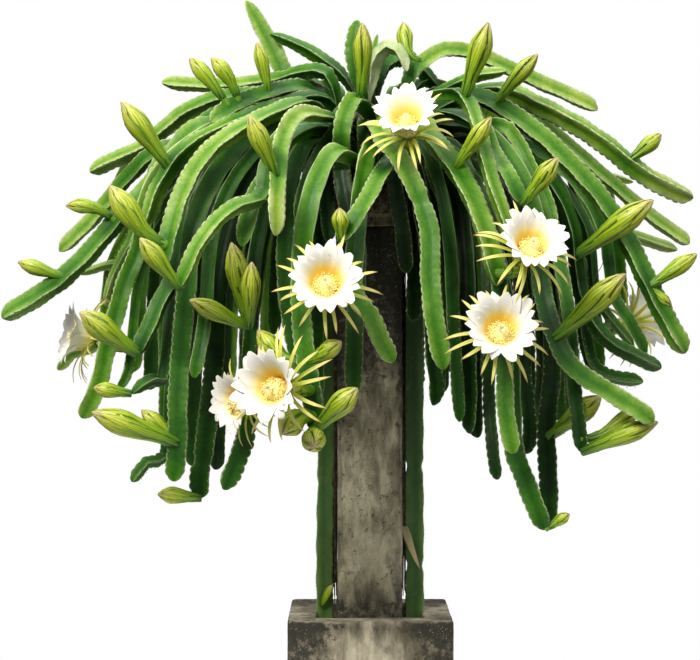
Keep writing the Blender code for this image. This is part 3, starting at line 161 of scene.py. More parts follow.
# Stems by limb. Each is its face width in mm, its depth in cm at the first and at the last point, and its
# route as seen from the front, in cm across from the post's middle and up from the ground. A third number
# in a point is a joint between two segments, where the stem narrows to that share.
STEMS = {
    "stems_left": [
        (38, -3, 4, [(-10, 162), (-17, 163), (-22, 161.5, 0.5), (-32, 160.5), (-42, 160.5), (-52, 161.5)]),
        (42, -4, 0, [(-17, 157), (-34, 158.5), (-45, 155), (-51, 150.5), (-57, 145.5), (-64, 142.5),
                       (-70, 139.5)]),
        (35, -6, -14, [(-29, 157), (-36, 155.5), (-42, 152), (-47, 147.5), (-52, 142.5), (-55, 137.5)]),
        (42, -4, 2, [(-50, 145), (-59, 139), (-66, 131), (-71, 125.5), (-77.5, 119.5)]),
        (50, -12, -20, [(-42, 150), (-50, 141), (-59, 131), (-64, 126), (-70, 119), (-77.5, 112), (-85, 107),
                        (-92, 103)]),
        (40, -2, 4, [(-59, 122.5), (-63, 115), (-66, 106)]),
        (25, -6, -8, [(-60, 92), (-61, 88), (-63, 85)]),
        (32, -14, -16, [(-51, 107.5), (-51, 90), (-51, 71)]),
    ],
    "stems_left_back": [
        (23, 14, 20, [(-61, 118.5), (-67, 116), (-72.5, 114)]),
        (32, 18, 24, [(-67.5, 98), (-74.5, 94.5), (-78, 90)]),
    ],
    "stems_left_front": [
        (32, -36, -38, [(-41, 106), (-42, 97.5), (-44, 88)]),
        (45, -38, -42, [(-46, 108), (-47, 97.5), (-48, 82.5), (-48, 72.5), (-49, 62)]),
        (42, -8, -34, [(-17, 159.5), (-27, 158), (-34, 155.5), (-40, 151.5)]),
        (42, -10, -34, [(-10, 156), (-20, 154.5), (-30.5, 152), (-45, 145.5), (-52.5, 136), (-56, 126)]),
        (45, -14, -44, [(-17.5, 154.5), (-30, 150.5), (-39, 145), (-44.5, 138), (-48, 130), (-51, 119),
                        (-52, 114.5)]),
        (42, -22, -26, [(-57.5, 121), (-61, 112.5), (-63.5, 104), (-66, 94.5), (-68, 86), (-72, 78)]),
        (42, -36, -42, [(-48.5, 114), (-52, 107), (-55, 100), (-58, 94)]),
        (30, -36, -40, [(-51, 89), (-55, 87.5), (-59.5, 84)]),
        (30, -20, -24, [(-50.5, 70), (-55, 67.5), (-59.5, 62)]),
        (50, -26, -28, [(-38.5, 90), (-40, 77.5), (-41, 69), (-42, 64, 0.5), (-42, 58)]),
    ],
    "stems_front_left": [
        (40, -20, -28, [(-12, 139.5), (-12, 131), (-11, 122)]),
        (38, -10, -42, [(-6, 154.5), (-11, 147.5), (-15, 139.5), (-17, 132.5), (-18, 126)]),
        (38, -44, -54, [(-27, 133), (-34, 130.5), (-39.5, 125.5), (-43, 120.5), (-45.5, 115),
                        (-47.5, 110.5)]),
        (35, -36, -36, [(-30, 100), (-31, 91)]),
        (45, -34, -36, [(-31, 76), (-33, 68), (-36.5, 60)]),
        (40, -36, -46, [(-25.5, 138), (-29, 132), (-32, 120.5)]),
        (40, -30, -54, [(-16, 153), (-20, 150.5), (-22.5, 144), (-23.5, 132.5), (-23.5, 123.5)]),
        (45, -22, -30, [(-18, 145), (-19.5, 136), (-20, 128)]),
        (42, -34, -36, [(-21, 122.5), (-21, 110), (-19, 96), (-17.5, 89)]),
    ],
    "stems_front": [
        (45, -48, -50, [(-17, 107.5), (-16, 95), (-14, 82.5), (-14, 75)]),
        (45, -22, -46, [(3, 146), (7.5, 141), (11, 135), (14, 127.5), (15, 122, 0.5), (15, 112.5),
                        (16, 102.5), (18.5, 90)]),
        (42, -18, -34, [(-4.5, 157), (-7, 151), (-7, 141), (-5.5, 131), (-3, 120), (-3.5, 102.5), (-4, 84)]),
        (45, -42, -44, [(-4.5, 109.5), (0, 103), (3, 96), (6, 92)]),
        (42, -22, -48, [(7, 143), (3, 138), (-1, 131), (-7, 122)]),
        (30, -16, -20, [(-0.5, 152), (-1, 142.5), (-1.5, 132.5)]),
    ],
    "stems_front_right": [
        (38, -32, -42, [(29.5, 145), (34, 138.5), (38, 131)]),
        (40, -27, -27, [(25, 97.5), (25.5, 82.5), (25, 74)]),
        (45, -38, -40, [(36, 72.5), (38.5, 64), (42, 55), (44, 50)]),
        (30, -20, -25, [(14.5, 138), (17.5, 131), (19, 124)]),
        (38, -18, -22, [(9.5, 134), (11, 125), (12, 114)]),
        (38, -15, -15, [(10.5, 115.5), (10.5, 102)]),
        (40, -24, -24, [(15.5, 94.5), (16.5, 86), (16, 81)]),
        (52, -24, -50, [(15.5, 147.5), (21, 140.5), (25.5, 132.5), (29, 123), (32, 111)]),
        (38, -24, -50, [(22.5, 158), (26.5, 152), (28.5, 144), (31, 135), (34, 127), (35.5, 121)]),
        (30, -30, -30, [(21, 100), (22.5, 77)]),
        (40, -46, -48, [(33.5, 92.5), (34, 79), (36, 69)]),
    ],
    "stems_right_front": [
        (38, -16, -18, [(20, 122.5), (20.5, 102.5), (20.5, 89)]),
        (50, -14, -30, [(26, 158), (40, 150), (51, 140), (58, 132), (64, 122.5), (69, 112.5), (74, 102.5),
                        (79, 94)]),
        (33, -20, -36, [(32, 150), (36.5, 146), (40.5, 139), (44, 132.5), (46, 124.5), (48, 115), (50, 102.5),
                        (51, 87.5), (53, 69.5)]),
        (45, -30, -38, [(42.5, 112), (45.5, 100), (50, 91), (57.5, 85.5), (65, 81), (71, 77)]),
        (35, -20, -22, [(54, 96), (58, 89), (68.5, 87)]),
        (38, -22, -26, [(52.5, 110), (58, 99), (64.5, 94.5), (73, 90.5)]),
        (30, -30, -30, [(30, 94), (30, 82.5), (31, 70), (32, 62.5)]),
        (35, -22, -22, [(38.5, 89), (40, 75), (39, 69)]),
        (45, -28, -30, [(46, 92.5), (44.5, 75), (45, 62.5), (45, 51)]),
        (32, -6, -10, [(19, 159), (26, 162.5), (34.5, 164)]),
    ],
    "stems_right": [
        (50, -10, -14, [(32.5, 159.5), (42.5, 156), (52.5, 151), (60, 146), (67.5, 140), (74.5, 136),
                        (81, 133)]),
        (38, -4, -4, [(34, 157.5), (47.5, 147.5), (57.5, 139), (67.5, 130.5), (74, 125.5), (80, 121.5)]),
        (32, -20, -22, [(60.5, 109), (64.5, 102.5), (69, 94)]),
        (25, -14, -14, [(57, 108), (66, 96)]),
        (30, -6, -8, [(51, 136), (55.5, 127.5), (57.5, 122.5)]),
        (35, -14, -16, [(50, 121), (54, 114)]),
        (42, -3, 4, [(10, 163.5), (14, 167.5), (19, 170), (26, 169), (34, 165.5), (44, 161), (51, 158),
                      (57, 155)]),
        (25, -12, -14, [(43, 90), (41, 75.5)]),
        (25, -14, -16, [(49.5, 90), (50, 79)]),
    ],
    "stems_right_back": [
        (32, 8, 12, [(57.5, 127), (67.5, 123), (77, 120)]),
        (23, 18, 24, [(47.5, 145), (57.5, 139.5), (66, 137)]),
    ],
    "crown": [
        (48, 5, 8, [(-12, 158), (-19.5, 161.5), (-24, 170), (-30.5, 182)]),
        (40, 1, 3, [(-5, 161.5), (-11, 167), (-17.5, 171), (-25, 174)]),
        (35, -3, -3, [(-2.5, 162.5), (-3.5, 170), (-3, 177.5)]),
        (23, 5, 8, [(0.5, 165), (2, 174)]),
        (28, -2, -6, [(0.5, 162.5), (1.5, 168), (4.5, 171), (8, 169), (9.5, 164.5)]),
    ],
}

# Climbing stems, from the soil up beside the post and over the cap, by the limb that they feed: face width
# in mm, then points in cm across, up and back, with a joint's share as a fourth number.
CLIMBERS = {
    "stems_right": (46, [(11.3, 14, 0), (11.3, 41, 0, 0.5), (11.2, 66, 0, 0.45), (11.2, 90, -1),
                         (11.6, 112, -1), (13.6, 127, 0), (13.4, 136, 0), (10.5, 143, 0), (7.2, 146, 0)]),
    "stems_left": (44, [(-11.4, 14, -1), (-11.6, 42, -1), (-11.4, 62, -1, 0.6), (-11.2, 90, 0),
                        (-11.6, 112, 0), (-13.6, 127, 0), (-13.4, 136, 0), (-10.5, 143, 0), (-7.2, 146, 0)]),
    "stems_back": (44, [(1, 14, 11.4), (1, 40, 11.5), (0, 70, 11.3, 0.5), (0, 112, 11.6), (0, 127, 13.6),
                        (0, 136, 13.4), (0, 143, 10.5), (0, 146, 7.2)]),
}

# Stems that hang behind and inside, set out by rule: heading in degrees from the right by the back, how
# many, the shortest and longest reach, and the lowest and highest tip, in m.
REAR_STEMS = [
    (12, 46, 4, 0.56, 0.78, 0.86, 1.24),
    (46, 78, 4, 0.50, 0.74, 0.84, 1.16),
    (78, 102, 4, 0.44, 0.72, 0.82, 1.10),
    (102, 134, 4, 0.50, 0.74, 0.84, 1.16),
    (134, 168, 4, 0.56, 0.78, 0.86, 1.24),
    (20, 160, 5, 0.24, 0.40, 0.84, 1.02),
    (196, 256, 2, 0.20, 0.34, 0.86, 1.06),
    (286, 344, 2, 0.20, 0.34, 0.82, 1.04),
]
REAR_WIDTH = (0.036, 0.046)
REAR_SEED = 7

# Buds: the tip and the foot as seen from the front in cm, the width in mm and how far the tip leans
# forward in cm.
BUDS = [
    (-62, 157, -51, 140, 55, 4), (-65, 136, -55, 122.5, 60, 4), (-57.5, 123, -48, 111, 45, 4),
    (-76, 131, -67.5, 131, 35, 1), (-45, 168, -39.5, 162, 38, 0), (-39.5, 168, -34, 162.5, 38, 2),
    (-28, 172, -26, 161, 33, 2), (-30, 153.5, -25, 138.5, 45, 5), (-2, 176.5, -2, 161, 45, 6),
    (8.5, 177, 9.5, 167, 40, -3), (30, 176.5, 24.5, 158.5, 55, 5), (42, 169, 33, 159, 40, 3),
    (30.5, 153, 23, 141, 40, 5), (47, 143, 39, 131, 45, 5), (73, 149, 64.5, 142, 38, 0),
    (71, 132.5, 53, 118.5, 60, 8), (64, 114, 48, 98, 60, 8), (82, 119, 69, 112, 40, 0),
    (75.5, 106, 71, 110.5, 23, 0), (-88, 117, -78, 113, 35, 0), (-72.5, 104.5, -57, 92.5, 60, 6),
    (-34.5, 122, -30.5, 101, 55, 5), (-29.5, 117, -31, 101, 45, 7), (-45, 107.5, -32, 102, 45, 6),
    (-28, 100, -21, 91, 50, 0), (-7, 97, -13, 93, 40, 4), (-3, 85.5, -11.5, 75.5, 55, 5),
    (-69.5, 79.5, -50.5, 70.5, 60, 6), (-57, 80, -50.5, 70.5, 40, 1), (-69, 85.5, -60, 84, 35, 1),
    (-53, 59, -42, 58, 40, 1), (58, 83.5, 47, 74.5, 55, 5), (72, 77, 55, 71, 45, 5),
    (68, 81, 57, 72.5, 40, 2), (50, 54, 46.5, 52.5, 25, 0), (-7.5, 130.5, -7, 123, 38, 3),
    (-14, 71, -14, 76, 55, 7), (-22, 74, -17, 80, 60, 6),
]

# Open flowers: the mouth's middle as seen from the front in cm, its depth, the way it faces, its size, and
# where its tube meets a stem, as seen from the front.
FLOWERS = [
    ((9, 155), -42, (-0.12, -0.62, 0.78), 1.00, (10, 137)),
    ((-11, 113), -60, (0.02, -0.95, 0.30), 1.00, (-13, 107)),
    ((-25.5, 86), -66, (-0.50, -0.86, 0.06), 1.05, (-20, 85)),
    ((-35, 82), -50, (-0.75, -0.65, -0.05), 0.85, (-28, 80)),
    ((41, 122.5), -60, (0.22, -0.85, 0.48), 1.00, (36, 115)),
    ((33, 101), -60, (0.06, -0.95, 0.30), 1.00, (34, 94)),
    ((-75, 99), -14, (-0.93, -0.30, 0.22), 0.95, (-62, 97)),
    ((69, 103), -2, (0.80, 0.55, 0.22), 0.95, (58, 102)),
]
TUBE_RADIUS = 0.0165
MOUTH_HEIGHT = 0.070


def placed(across, up, depth):
    """The point that stands at a given place in the front view, in cm, when it lies at a given depth."""
    spread = (SIGHT_RANGE + depth / 100.0) / SIGHT_RANGE
    x = SIGHT_ACROSS + (across / 100.0 - SIGHT_ACROSS) * spread
    z = SIGHT_HEIGHT + (up / 100.0 - SIGHT_HEIGHT) * spread
    return np.array((x, depth / 100.0, z))


def spline(points, step):
    """A smooth line through points, as points a fixed step apart."""
    points = np.asarray(points, dtype=float)
    ends = np.vstack((2.0 * points[0] - points[1], points, 2.0 * points[-1] - points[-2]))
    dense = []
    for k in range(len(points) - 1):
        a, b, c, d = ends[k:k + 4]
        for t in np.linspace(0.0, 1.0, 12, endpoint=False):
            dense.append(0.5 * (2.0 * b + (c - a) * t + (2.0 * a - 5.0 * b + 4.0 * c - d) * t ** 2
                                + (3.0 * b - a - 3.0 * c + d) * t ** 3))
    dense.append(points[-1])
    return resampled(np.array(dense), step)


def arc_length(line):
    """The distance along a line at each of its points."""
    return np.concatenate(([0.0], np.cumsum(np.linalg.norm(np.diff(line, axis=0), axis=1))))


def resampled(line, step):
    """The same line as points about one step apart."""
    along = arc_length(line)
    count = max(3, int(round(along[-1] / step)) + 1)
    wanted = np.linspace(0.0, along[-1], count)
    return np.column_stack([np.interp(wanted, along, line[:, k]) for k in range(3)])


def rising(values, start, run):
    """0 up to a start, 1 from one run further on, and even steps between them."""
    return np.clip((values - start) / run, 0.0, 1.0)


class Strand:
    """A stem, a bud or a flower's tube: a centre line with a radius along it, as a part of one limb."""

    def __init__(self, kind, limb, line, width):
        self.kind = kind
        self.limb = limb
        self.line = line
        self.width = width
        self.hidden = 0.0
        self.joints = []
        self.laid = True
        self.fixed = False
        self.parent = None
        self.swing = 0.0
        self.age = 0.0
        self.youth = 0.0
        self.twist = 0.0
        self.cork = 0.0
        self.scallop = 1.0
        self.taper = TIP_LENGTH
        self.cover = None

    def length(self):
        return arc_length(self.line)[-1]

    def radius(self, along):
        """The distance from the centre line to a rib, or to the skin of a bud or a tube, with a rounded tip."""
        size = self.body_radius(along)
        if self.kind in ("bud", "tube"):
            return size
        rest = np.clip((self.length() - np.asarray(along, dtype=float)) / TIP_LENGTH, 0.0, 1.0)
        return size * np.maximum(0.35, np.sqrt(1.0 - (1.0 - rest) ** 2))

    def body_radius(self, along):
        """The same without the rounding of a stem's tip."""
        along = np.asarray(along, dtype=float)
        total = self.length()
        if self.kind == "bud":
            share = np.clip((along - self.hidden) / (total - self.hidden), 0.0, 1.0)
            return 0.5 * self.width * np.interp(share, *BUD_BELLY)
        if self.kind == "tube":
            return 0.5 * self.width * np.interp(along / total, *TUBE_FLARE)
        taper = ROOT_TAPER_LONG if self.hidden > 0.18 else ROOT_TAPER_SHORT
        size = self.width * CORNER * np.interp(along, taper, ROOT_TAPER)
        if self.kind == "climber":
            size = self.width * CORNER * np.interp(total - along, *CLIMBER_TAPER)
        for place, share in self.joints:
            size = size * (1.0 - (1.0 - share) * np.exp(-((along - place) / JOINT_LENGTH) ** 2))
        return size


def limb_heading(limb):
    """The angle round the post at which a limb leaves the crown."""
    return LIMBS.index(limb) * LIMB_ANGLE


def root_of(limb, rank, count):
    """The point inside a limb's collar where one of its stems starts, in two columns from the lowest up."""
    angle = limb_heading(limb) + (ROOT_TURN if rank % 2 else -ROOT_TURN)
    height = ROOT_LOWEST + (ROOT_HIGHEST - ROOT_LOWEST) * (rank + 0.5) / count
    return np.array((ROOT_RADIUS * math.cos(angle), ROOT_RADIUS * math.sin(angle), height))


def arch(root, heading, first):
    """The hidden run of a stem: up and out of the crown, then over and down to its first seen point."""
    outward = np.array((math.cos(heading), math.sin(heading), 0.0))
    way_out = root + LEAD_OUT * outward + np.array((0.0, 0.0, LEAD_UP))
    across = (first - way_out) * np.array((1.0, 1.0, 0.0))
    distance = np.linalg.norm(across)
    if distance < LEAD_LEAST:
        return [root]
    if first[2] > way_out[2]:
        middle = way_out + 0.45 * across
        middle[2] = way_out[2] + 0.70 * (first[2] - way_out[2])
        return [root, way_out, middle]
    top = way_out[2] + min(ARCH_LIMIT, ARCH_SHARE * distance)
    run = [root, way_out]
    for share in (0.26, 0.5, 0.76):
        point = way_out + across * (1.0 - (1.0 - share) ** 2)
        point[2] = top - (top - first[2]) * share ** 2
        run.append(point)
    return run


def laid_stems():
    """The stems whose routes are given in the front view."""
    strands = []
    for limb, stems in STEMS.items():
        by_height = sorted(range(len(stems)), key=lambda k: stems[k][3][0][1])
        for order, (width, near, far, route) in enumerate(stems):
            flat = np.array([point[:2] for point in route], dtype=float)
            share = arc_length(np.column_stack((flat, np.zeros(len(flat)))))
            share = share / share[-1]
            depths = near + (far - near) * (1.0 - (1.0 - share) ** 2)
            seen = [placed(x, z, y) for (x, z), y in zip(flat, depths)]
            if limb == "crown":
                angle = order * 2.4
                lead = [np.array((CROWN_SPREAD * math.cos(angle), CROWN_SPREAD * math.sin(angle),
                                  CROWN_TOP - 0.04))]
            else:
                lead = arch(root_of(limb, by_height.index(order), len(stems)), limb_heading(limb), seen[0])
            strand = Strand("stem", limb, spline(lead + seen, LINE_STEP), width / 1000.0)
            strand.hidden = arc_length(spline(lead + seen[:1], 0.01))[-1] if len(lead) > 1 else 0.0
            for point, place in zip(route, seen):
                if len(point) > 2:
                    strand.joints.append((nearest_along(strand.line, place), point[2]))
            strands.append(strand)
    return strands


def nearest_along(line, place):
    """How far along a line its point nearest to a place is."""
    fine = resampled(line, 0.004)
    return arc_length(fine)[np.argmin(np.linalg.norm(fine - place, axis=1))]


def climbing_stems():
    """The stems that grow up from the soil beside the post."""
    strands = []
    for limb, (width, route) in CLIMBERS.items():
        points = [np.array((point[0], point[2], point[1])) / 100.0 for point in route]
        strand = Strand("climber", limb, spline(points, LINE_STEP), width / 1000.0)
        strand.fixed = True
        for point, place in zip(route, points):
            if len(point) > 3:
                strand.joints.append((nearest_along(strand.line, place), point[3]))
        strands.append(strand)
    return strands


def rear_stems():
    """The stems round the back, spread evenly in heading with drawn reach, drop and width."""
    draw = random.Random(REAR_SEED)
    strands = []
    for first, last, count, short, long, low, high in REAR_STEMS:
        for k in range(count):
            heading = math.radians(first + (last - first) * (k + draw.uniform(0.3, 0.7)) / count)
            limb = LIMBS[int(round(heading / LIMB_ANGLE)) % len(LIMBS)]
            reach = draw.uniform(short, long)
            tip = high - (high - low) * (k % 2) + draw.uniform(-0.04, 0.04)
            root = root_of(limb, k, count)
            top = root[2] + 0.05 + 0.12 * reach + draw.uniform(0.0, 0.03)
            points = [root]
            for share in (0.08, 0.20, 0.38, 0.58, 0.79, 1.0):
                angle = heading + (limb_heading(limb) - heading) * max(0.0, 1.0 - share / 0.4)
                outward = np.array((math.cos(angle), math.sin(angle), 0.0))
                point = outward * (ROOT_RADIUS + (reach - ROOT_RADIUS) * (1.0 - (1.0 - share) ** 2))
                point[2] = top - (top - tip) * share ** 2.2
                points.append(point)
            strand = Strand("stem", limb, spline(points, LINE_STEP), draw.uniform(*REAR_WIDTH))
            strand.hidden = 0.20
            strand.laid = False
            strands.append(strand)
    return strands


def flower_axes(facing):
    """Two sideways directions and the axis of a flower that faces a given way."""
    axis = Vector(facing).normalized()
    side = axis.cross(Vector((0.0, 0.0, 1.0))).normalized()
    return side, axis.cross(side).normalized(), axis


def flower_foot(flower):
    """The middle of the flower's seat on its tube."""
    (across, up), depth, facing, size, _ = flower
    axis = np.array(flower_axes(facing)[2])
    return placed(across, up, depth) - axis * MOUTH_HEIGHT * size


def flower_room(flower):
    """Spheres that fill the space of an open flower, as middles and radii."""
    side, other, axis = (np.array(v) for v in flower_axes(flower[2]))
    foot, size = flower_foot(flower), flower[3]
    spheres = [(foot + 0.02 * axis, 0.026)]
    for count, height, reach, radius in FLOWER_ROOM:
        for k in range(count):
            turn = 2.0 * math.pi * k / count
            away = math.cos(turn) * side + math.sin(turn) * other
            spheres.append((foot + size * (height * axis + reach * away), radius * size))
    return spheres


def seen_from_front(points):
    """Where points stand in the front view, in m."""
    points = np.atleast_2d(points)
    spread = SIGHT_RANGE / (SIGHT_RANGE + points[:, 1])
    return np.column_stack((SIGHT_ACROSS + (points[:, 0] - SIGHT_ACROSS) * spread,
                            SIGHT_HEIGHT + (points[:, 2] - SIGHT_HEIGHT) * spread))


def rooted_buds(stems):
    """The buds, each rooted in the front stem that passes its foot."""
    seen = [seen_from_front(stem.line) for stem in stems]
    strands = []
    for tip_across, tip_up, across, up, width, lean in BUDS:
        foot = np.array((across, up)) / 100.0
        best = None
        for stem, flat in zip(stems, seen):
            away = np.linalg.norm(flat - foot, axis=1)
            away[np.linalg.norm(stem.line[:, :2], axis=1) < BARE_RADIUS] += BARRED
            place = int(np.argmin(away))
            cost = max(away[place], 0.02) * 3.0 + stem.line[place, 1]
            if best is None or cost < best[0]:
                best = (cost, stem, place, away[place])
        _, stem, place, gap = best
        start = stem.line[place]
        depth = start[1] * 100.0 - 0.6
        tip = placed(tip_across, tip_up, depth - lean)
        points = [start, placed(across, up, depth - 1.0), tip] if gap > NECK_GAP else [start, tip]
        strand = Strand("bud", stem.limb, spline(points, LINE_STEP), width / 1000.0)
        strand.hidden = gap - 0.01 if gap > NECK_GAP else 0.0
        strand.parent = (stem, place)
        strands.append(strand)
    return strands


def flower_tubes(stems):
    """The green tube behind each flower, from a stem to the flower's seat."""
    strands = []
    for flower in FLOWERS:
        foot = flower_foot(flower)
        axis = np.array(flower_axes(flower[2])[2])
        tail = placed(*flower[4], foot[1] * 100.0 + TUBE_BEHIND)
        options = []
        for stem in stems:
            away = np.linalg.norm(stem.line - tail, axis=1)
            away[np.linalg.norm(stem.line[:, :2], axis=1) < BARE_RADIUS] += BARRED
            place = int(np.argmin(away))
            options.append((away[place], len(options), stem, place))
        _, _, stem, place = min(options)
        start = stem.line[place]
        bend = foot - axis * TUBE_BEND
        middle = 0.5 * (start + bend) - np.array((0.0, 0.0, TUBE_SAG))
        points = [start, middle, bend, foot - axis * TUBE_THROAT, foot]
        strand = Strand("tube", stem.limb, spline(points, 0.02), 2.0 * TUBE_RADIUS * flower[3])
        strand.parent = (stem, place)
        strands.append(strand)
    return strands


def post_room():
    """Spheres that fill the post and its cap."""
    return [(np.array((0.0, 0.0, z)), radius) for low, high, step, radius in POST_ROOM
            for z in np.arange(low, high, step)]


def crown_room():
    """Spheres that fill the crown above the collars."""
    return [(np.array((0.0, 0.0, z)), radius) for z, radius in CROWN_ROOM]


def settle(strands, spheres, rounds):
    """Bends the strands clear of each other and of the spheres.

    Away from the crown a stem laid out in the front view only moves along the line of sight, so that it
    keeps its place in that view."""
    rest, radii, owner, limb_of, laid, held, before, after = [], [], [], [], [], [], [], []
    starts = {}
    for number, strand in enumerate(strands):
        starts[id(strand)] = len(rest)
        first, count = len(rest), len(strand.line)
        near_crown = np.linalg.norm(strand.line[:, :2], axis=1) < HELD_RADIUS
        sizes = strand.radius(arc_length(strand.line))
        for k in range(count):
            rest.append(strand.line[k])
            radii.append(sizes[k])
            owner.append(number)
            limb_of.append(strand.limb)
            laid.append(strand.laid)
            held.append(strand.fixed or k == 0 or near_crown[k] or (strand.kind == "tube" and k >= count - 3))
            before.append(max(first, first + k - 1))
            after.append(min(first + count - 1, first + k + 1))
    moving = len(rest)
    for center, radius, number in spheres:
        rest.append(center)
        radii.append(radius)
        owner.append(number)
        limb_of.append("")
        laid.append(False)
        held.append(True)
    rest, radii, owner = np.array(rest), np.array(radii), np.array(owner)
    limb_of, laid, held = np.array(limb_of), np.array(laid), np.array(held)
    before, after = np.array(before), np.array(after)
    pins = [(starts[id(s)], starts[id(s.parent[0])] + s.parent[1]) for s in strands if s.parent]
    parent_of = {number: {owner[starts[id(s.parent[0])]]} for number, s in enumerate(strands) if s.parent}
    sight = np.array((SIGHT_ACROSS, -SIGHT_RANGE, SIGHT_HEIGHT))
    offset = np.zeros_like(rest)
    for turn in range(rounds):
        now = rest + offset
        if turn % PAIR_ROUNDS == 0:
            squares = (now ** 2).sum(axis=1)
            apart = squares[:, None] + squares[None, :] - 2.0 * now @ now.T
            reach = radii[:, None] + radii[None, :] + PAIR_MARGIN
            one, two = np.nonzero(np.triu(apart < reach ** 2, 1))
            keep = (owner[one] != owner[two]) & ~(held[one] & held[two])
            one, two = one[keep], two[keep]
            outside = np.minimum(np.linalg.norm(now[one, :2], axis=1), np.linalg.norm(now[two, :2], axis=1))
            keep = (limb_of[one] != limb_of[two]) | (outside > SAME_LIMB_RADIUS)
            kin = np.array([b in parent_of.get(a, ()) or a in parent_of.get(b, ())
                            for a, b in zip(owner[one], owner[two])], dtype=bool)
            keep &= ~kin
            one, two = one[keep], two[keep]
            ray = now - sight
            ray /= np.linalg.norm(ray, axis=1)[:, None]
            radial = np.linalg.norm(now[:, :2], axis=1)
            along_ray = rising(radial, SIGHT_FROM, SIGHT_BAND) * laid
        apart = now[one] - now[two]
        distance = np.maximum(np.linalg.norm(apart, axis=1), 1e-6)
        kindred = np.where(limb_of[one] == limb_of[two], KINDRED, 1.0)
        needed = kindred * (radii[one] + radii[two] + CLEARANCE)
        close = distance < needed
        a, b, gap, distance, needed = one[close], two[close], apart[close], distance[close], needed[close]
        share_a = np.where(held[b], 1.0, 0.5)[:, None]
        share_b = np.where(held[a], 1.0, 0.5)[:, None]
        away = gap / distance[:, None] * (needed - distance)[:, None]
        push = np.zeros_like(rest)
        weight = np.zeros(len(rest))
        behind = (gap * ray[a]).sum(axis=1)
        crossing = np.unique(owner[a] * len(rest) + owner[b], return_inverse=True)[1]
        order = np.where(np.bincount(crossing, weights=behind)[crossing] >= 0.0, 1.0, -1.0)
        for end, sign, share in ((a, 1.0, share_a), (b, -1.0, share_b)):
            level = (gap * ray[end]).sum(axis=1)
            cross = np.maximum(distance ** 2 - level ** 2, 0.0)
            wanted = np.sqrt(np.maximum(needed ** 2 - cross, 0.0)) - order * level
            in_depth = ray[end] * (np.clip(wanted, 0.0, LONGEST_PUSH) * order * sign)[:, None]
            blend = along_ray[end][:, None]
            np.add.at(push, end, (blend * in_depth + (1.0 - blend) * away * sign) * share)
            np.add.at(weight, end, 1.0)
        push /= np.maximum(weight, 1.0)[:, None]
        push[held] = 0.0
        offset += PUSH_SHARE * push
        body = offset[:moving]
        body = BESIDE_SHARE * body[before] + OWN_SHARE * body + BESIDE_SHARE * body[after]
        offset[:moving] = np.where(held[:moving, None], 0.0, body)
        for child, parent in pins:
            offset[child] = rest[parent] + offset[parent] - rest[child]
    now = rest + offset
    for strand in strands:
        first = starts[id(strand)]
        line = now[first:first + len(strand.line)].copy()
        if strand.kind == "bud":
            for _ in range(3):
                line[1:-1] = 0.5 * line[1:-1] + 0.25 * (line[:-2] + line[2:])
        strand.line = line


def frames(line, places, reach=0.5 * LINE_STEP):
    """The centre, direction and two sideways directions at places along a line, with no twist."""
    along = arc_length(line)
    centers = np.column_stack([np.interp(places, along, line[:, k]) for k in range(3)])
    ahead = np.column_stack([np.interp(places + reach, along, line[:, k]) for k in range(3)])
    behind = np.column_stack([np.interp(places - reach, along, line[:, k]) for k in range(3)])
    tangents = (ahead - behind) / np.linalg.norm(ahead - behind, axis=1)[:, None]
    guess = np.array((0.0, 0.0, 1.0)) if abs(tangents[0, 2]) < 0.9 else np.array((1.0, 0.0, 0.0))
    sides = []
    for tangent in tangents:
        guess = guess - tangent * np.dot(guess, tangent)
        guess = guess / np.linalg.norm(guess)
        sides.append(guess)
    sides = np.array(sides)
    return centers, tangents, sides, np.cross(tangents, sides)


def facing_turn(strand, places):
    """The turn that sets one face of a stem outward, and toward the viewer where it is seen."""
    _, tangents, sides, others = frames(strand.line, places)
    middle = int(len(places) * 0.65)
    outward = strand.line[-1] * np.array((1.0, 1.0, 0.0))
    outward = outward / max(np.linalg.norm(outward), 1e-6)
    wanted = np.array((0.0, -0.62, 0.78)) if strand.laid else outward + np.array((0.0, 0.0, 0.6))
    wanted = wanted - tangents[middle] * np.dot(wanted, tangents[middle])
    return math.atan2(np.dot(wanted, others[middle]), np.dot(wanted, sides[middle])) + strand.swing


def plant_strands():
    """Every stem, bud and tube, bent clear of the others."""
    stems = laid_stems() + rear_stems()
    climbers = climbing_stems()
    spheres = [(center, radius, -1) for center, radius in post_room() + crown_room()]
    blooms = []
    for number, flower in enumerate(FLOWERS):
        blooms += [(center, radius, -2 - number) for center, radius in flower_room(flower)]
    settle(stems + climbers, spheres + blooms, FIRST_ROUNDS)
    buds = rooted_buds([stem for stem in stems if stem.laid])
    tubes = flower_tubes([stem for stem in stems if stem.laid])
    everything = stems + climbers + buds + tubes
    settle(everything, spheres + owned_by_tubes(blooms, everything), LAST_ROUNDS)
    draw = random.Random(SWING_SEED)
    for strand in everything:
        strand.swing = draw.uniform(-SWING, SWING)
    return everything


def owned_by_tubes(blooms, strands):
    """The flowers' spheres, each marked as belonging to the tube that carries it."""
    tubes = [number for number, strand in enumerate(strands) if strand.kind == "tube"]
    return [(center, radius, tubes[-2 - mark]) for center, radius, mark in blooms]


# Along a rib, from one areole to the next, and the rings drawn in that length. Ribs take turns by a quarter.
LOBE = 0.019
RINGS_A_LOBE = 4
RIB_PHASES = (0.0, 0.5, 0.25)
LEAD_STEP = 0.020
# A grown tip rounds off over a length between these two. Stems of the crown also narrow over a longer one.
# Two powers shape the rounding, and a crown stem loses a share of its width.
TIP_TAPERS = (0.030, 0.052)
TIP_POWERS = (2.4, 0.62)
CROWN_TAPER = 0.14
CROWN_SLIM = 0.40
# Where the young end of a stem starts and over what run it sets in, as shares of its length.
YOUNG_FROM = 0.72
YOUNG_RUN = 0.28
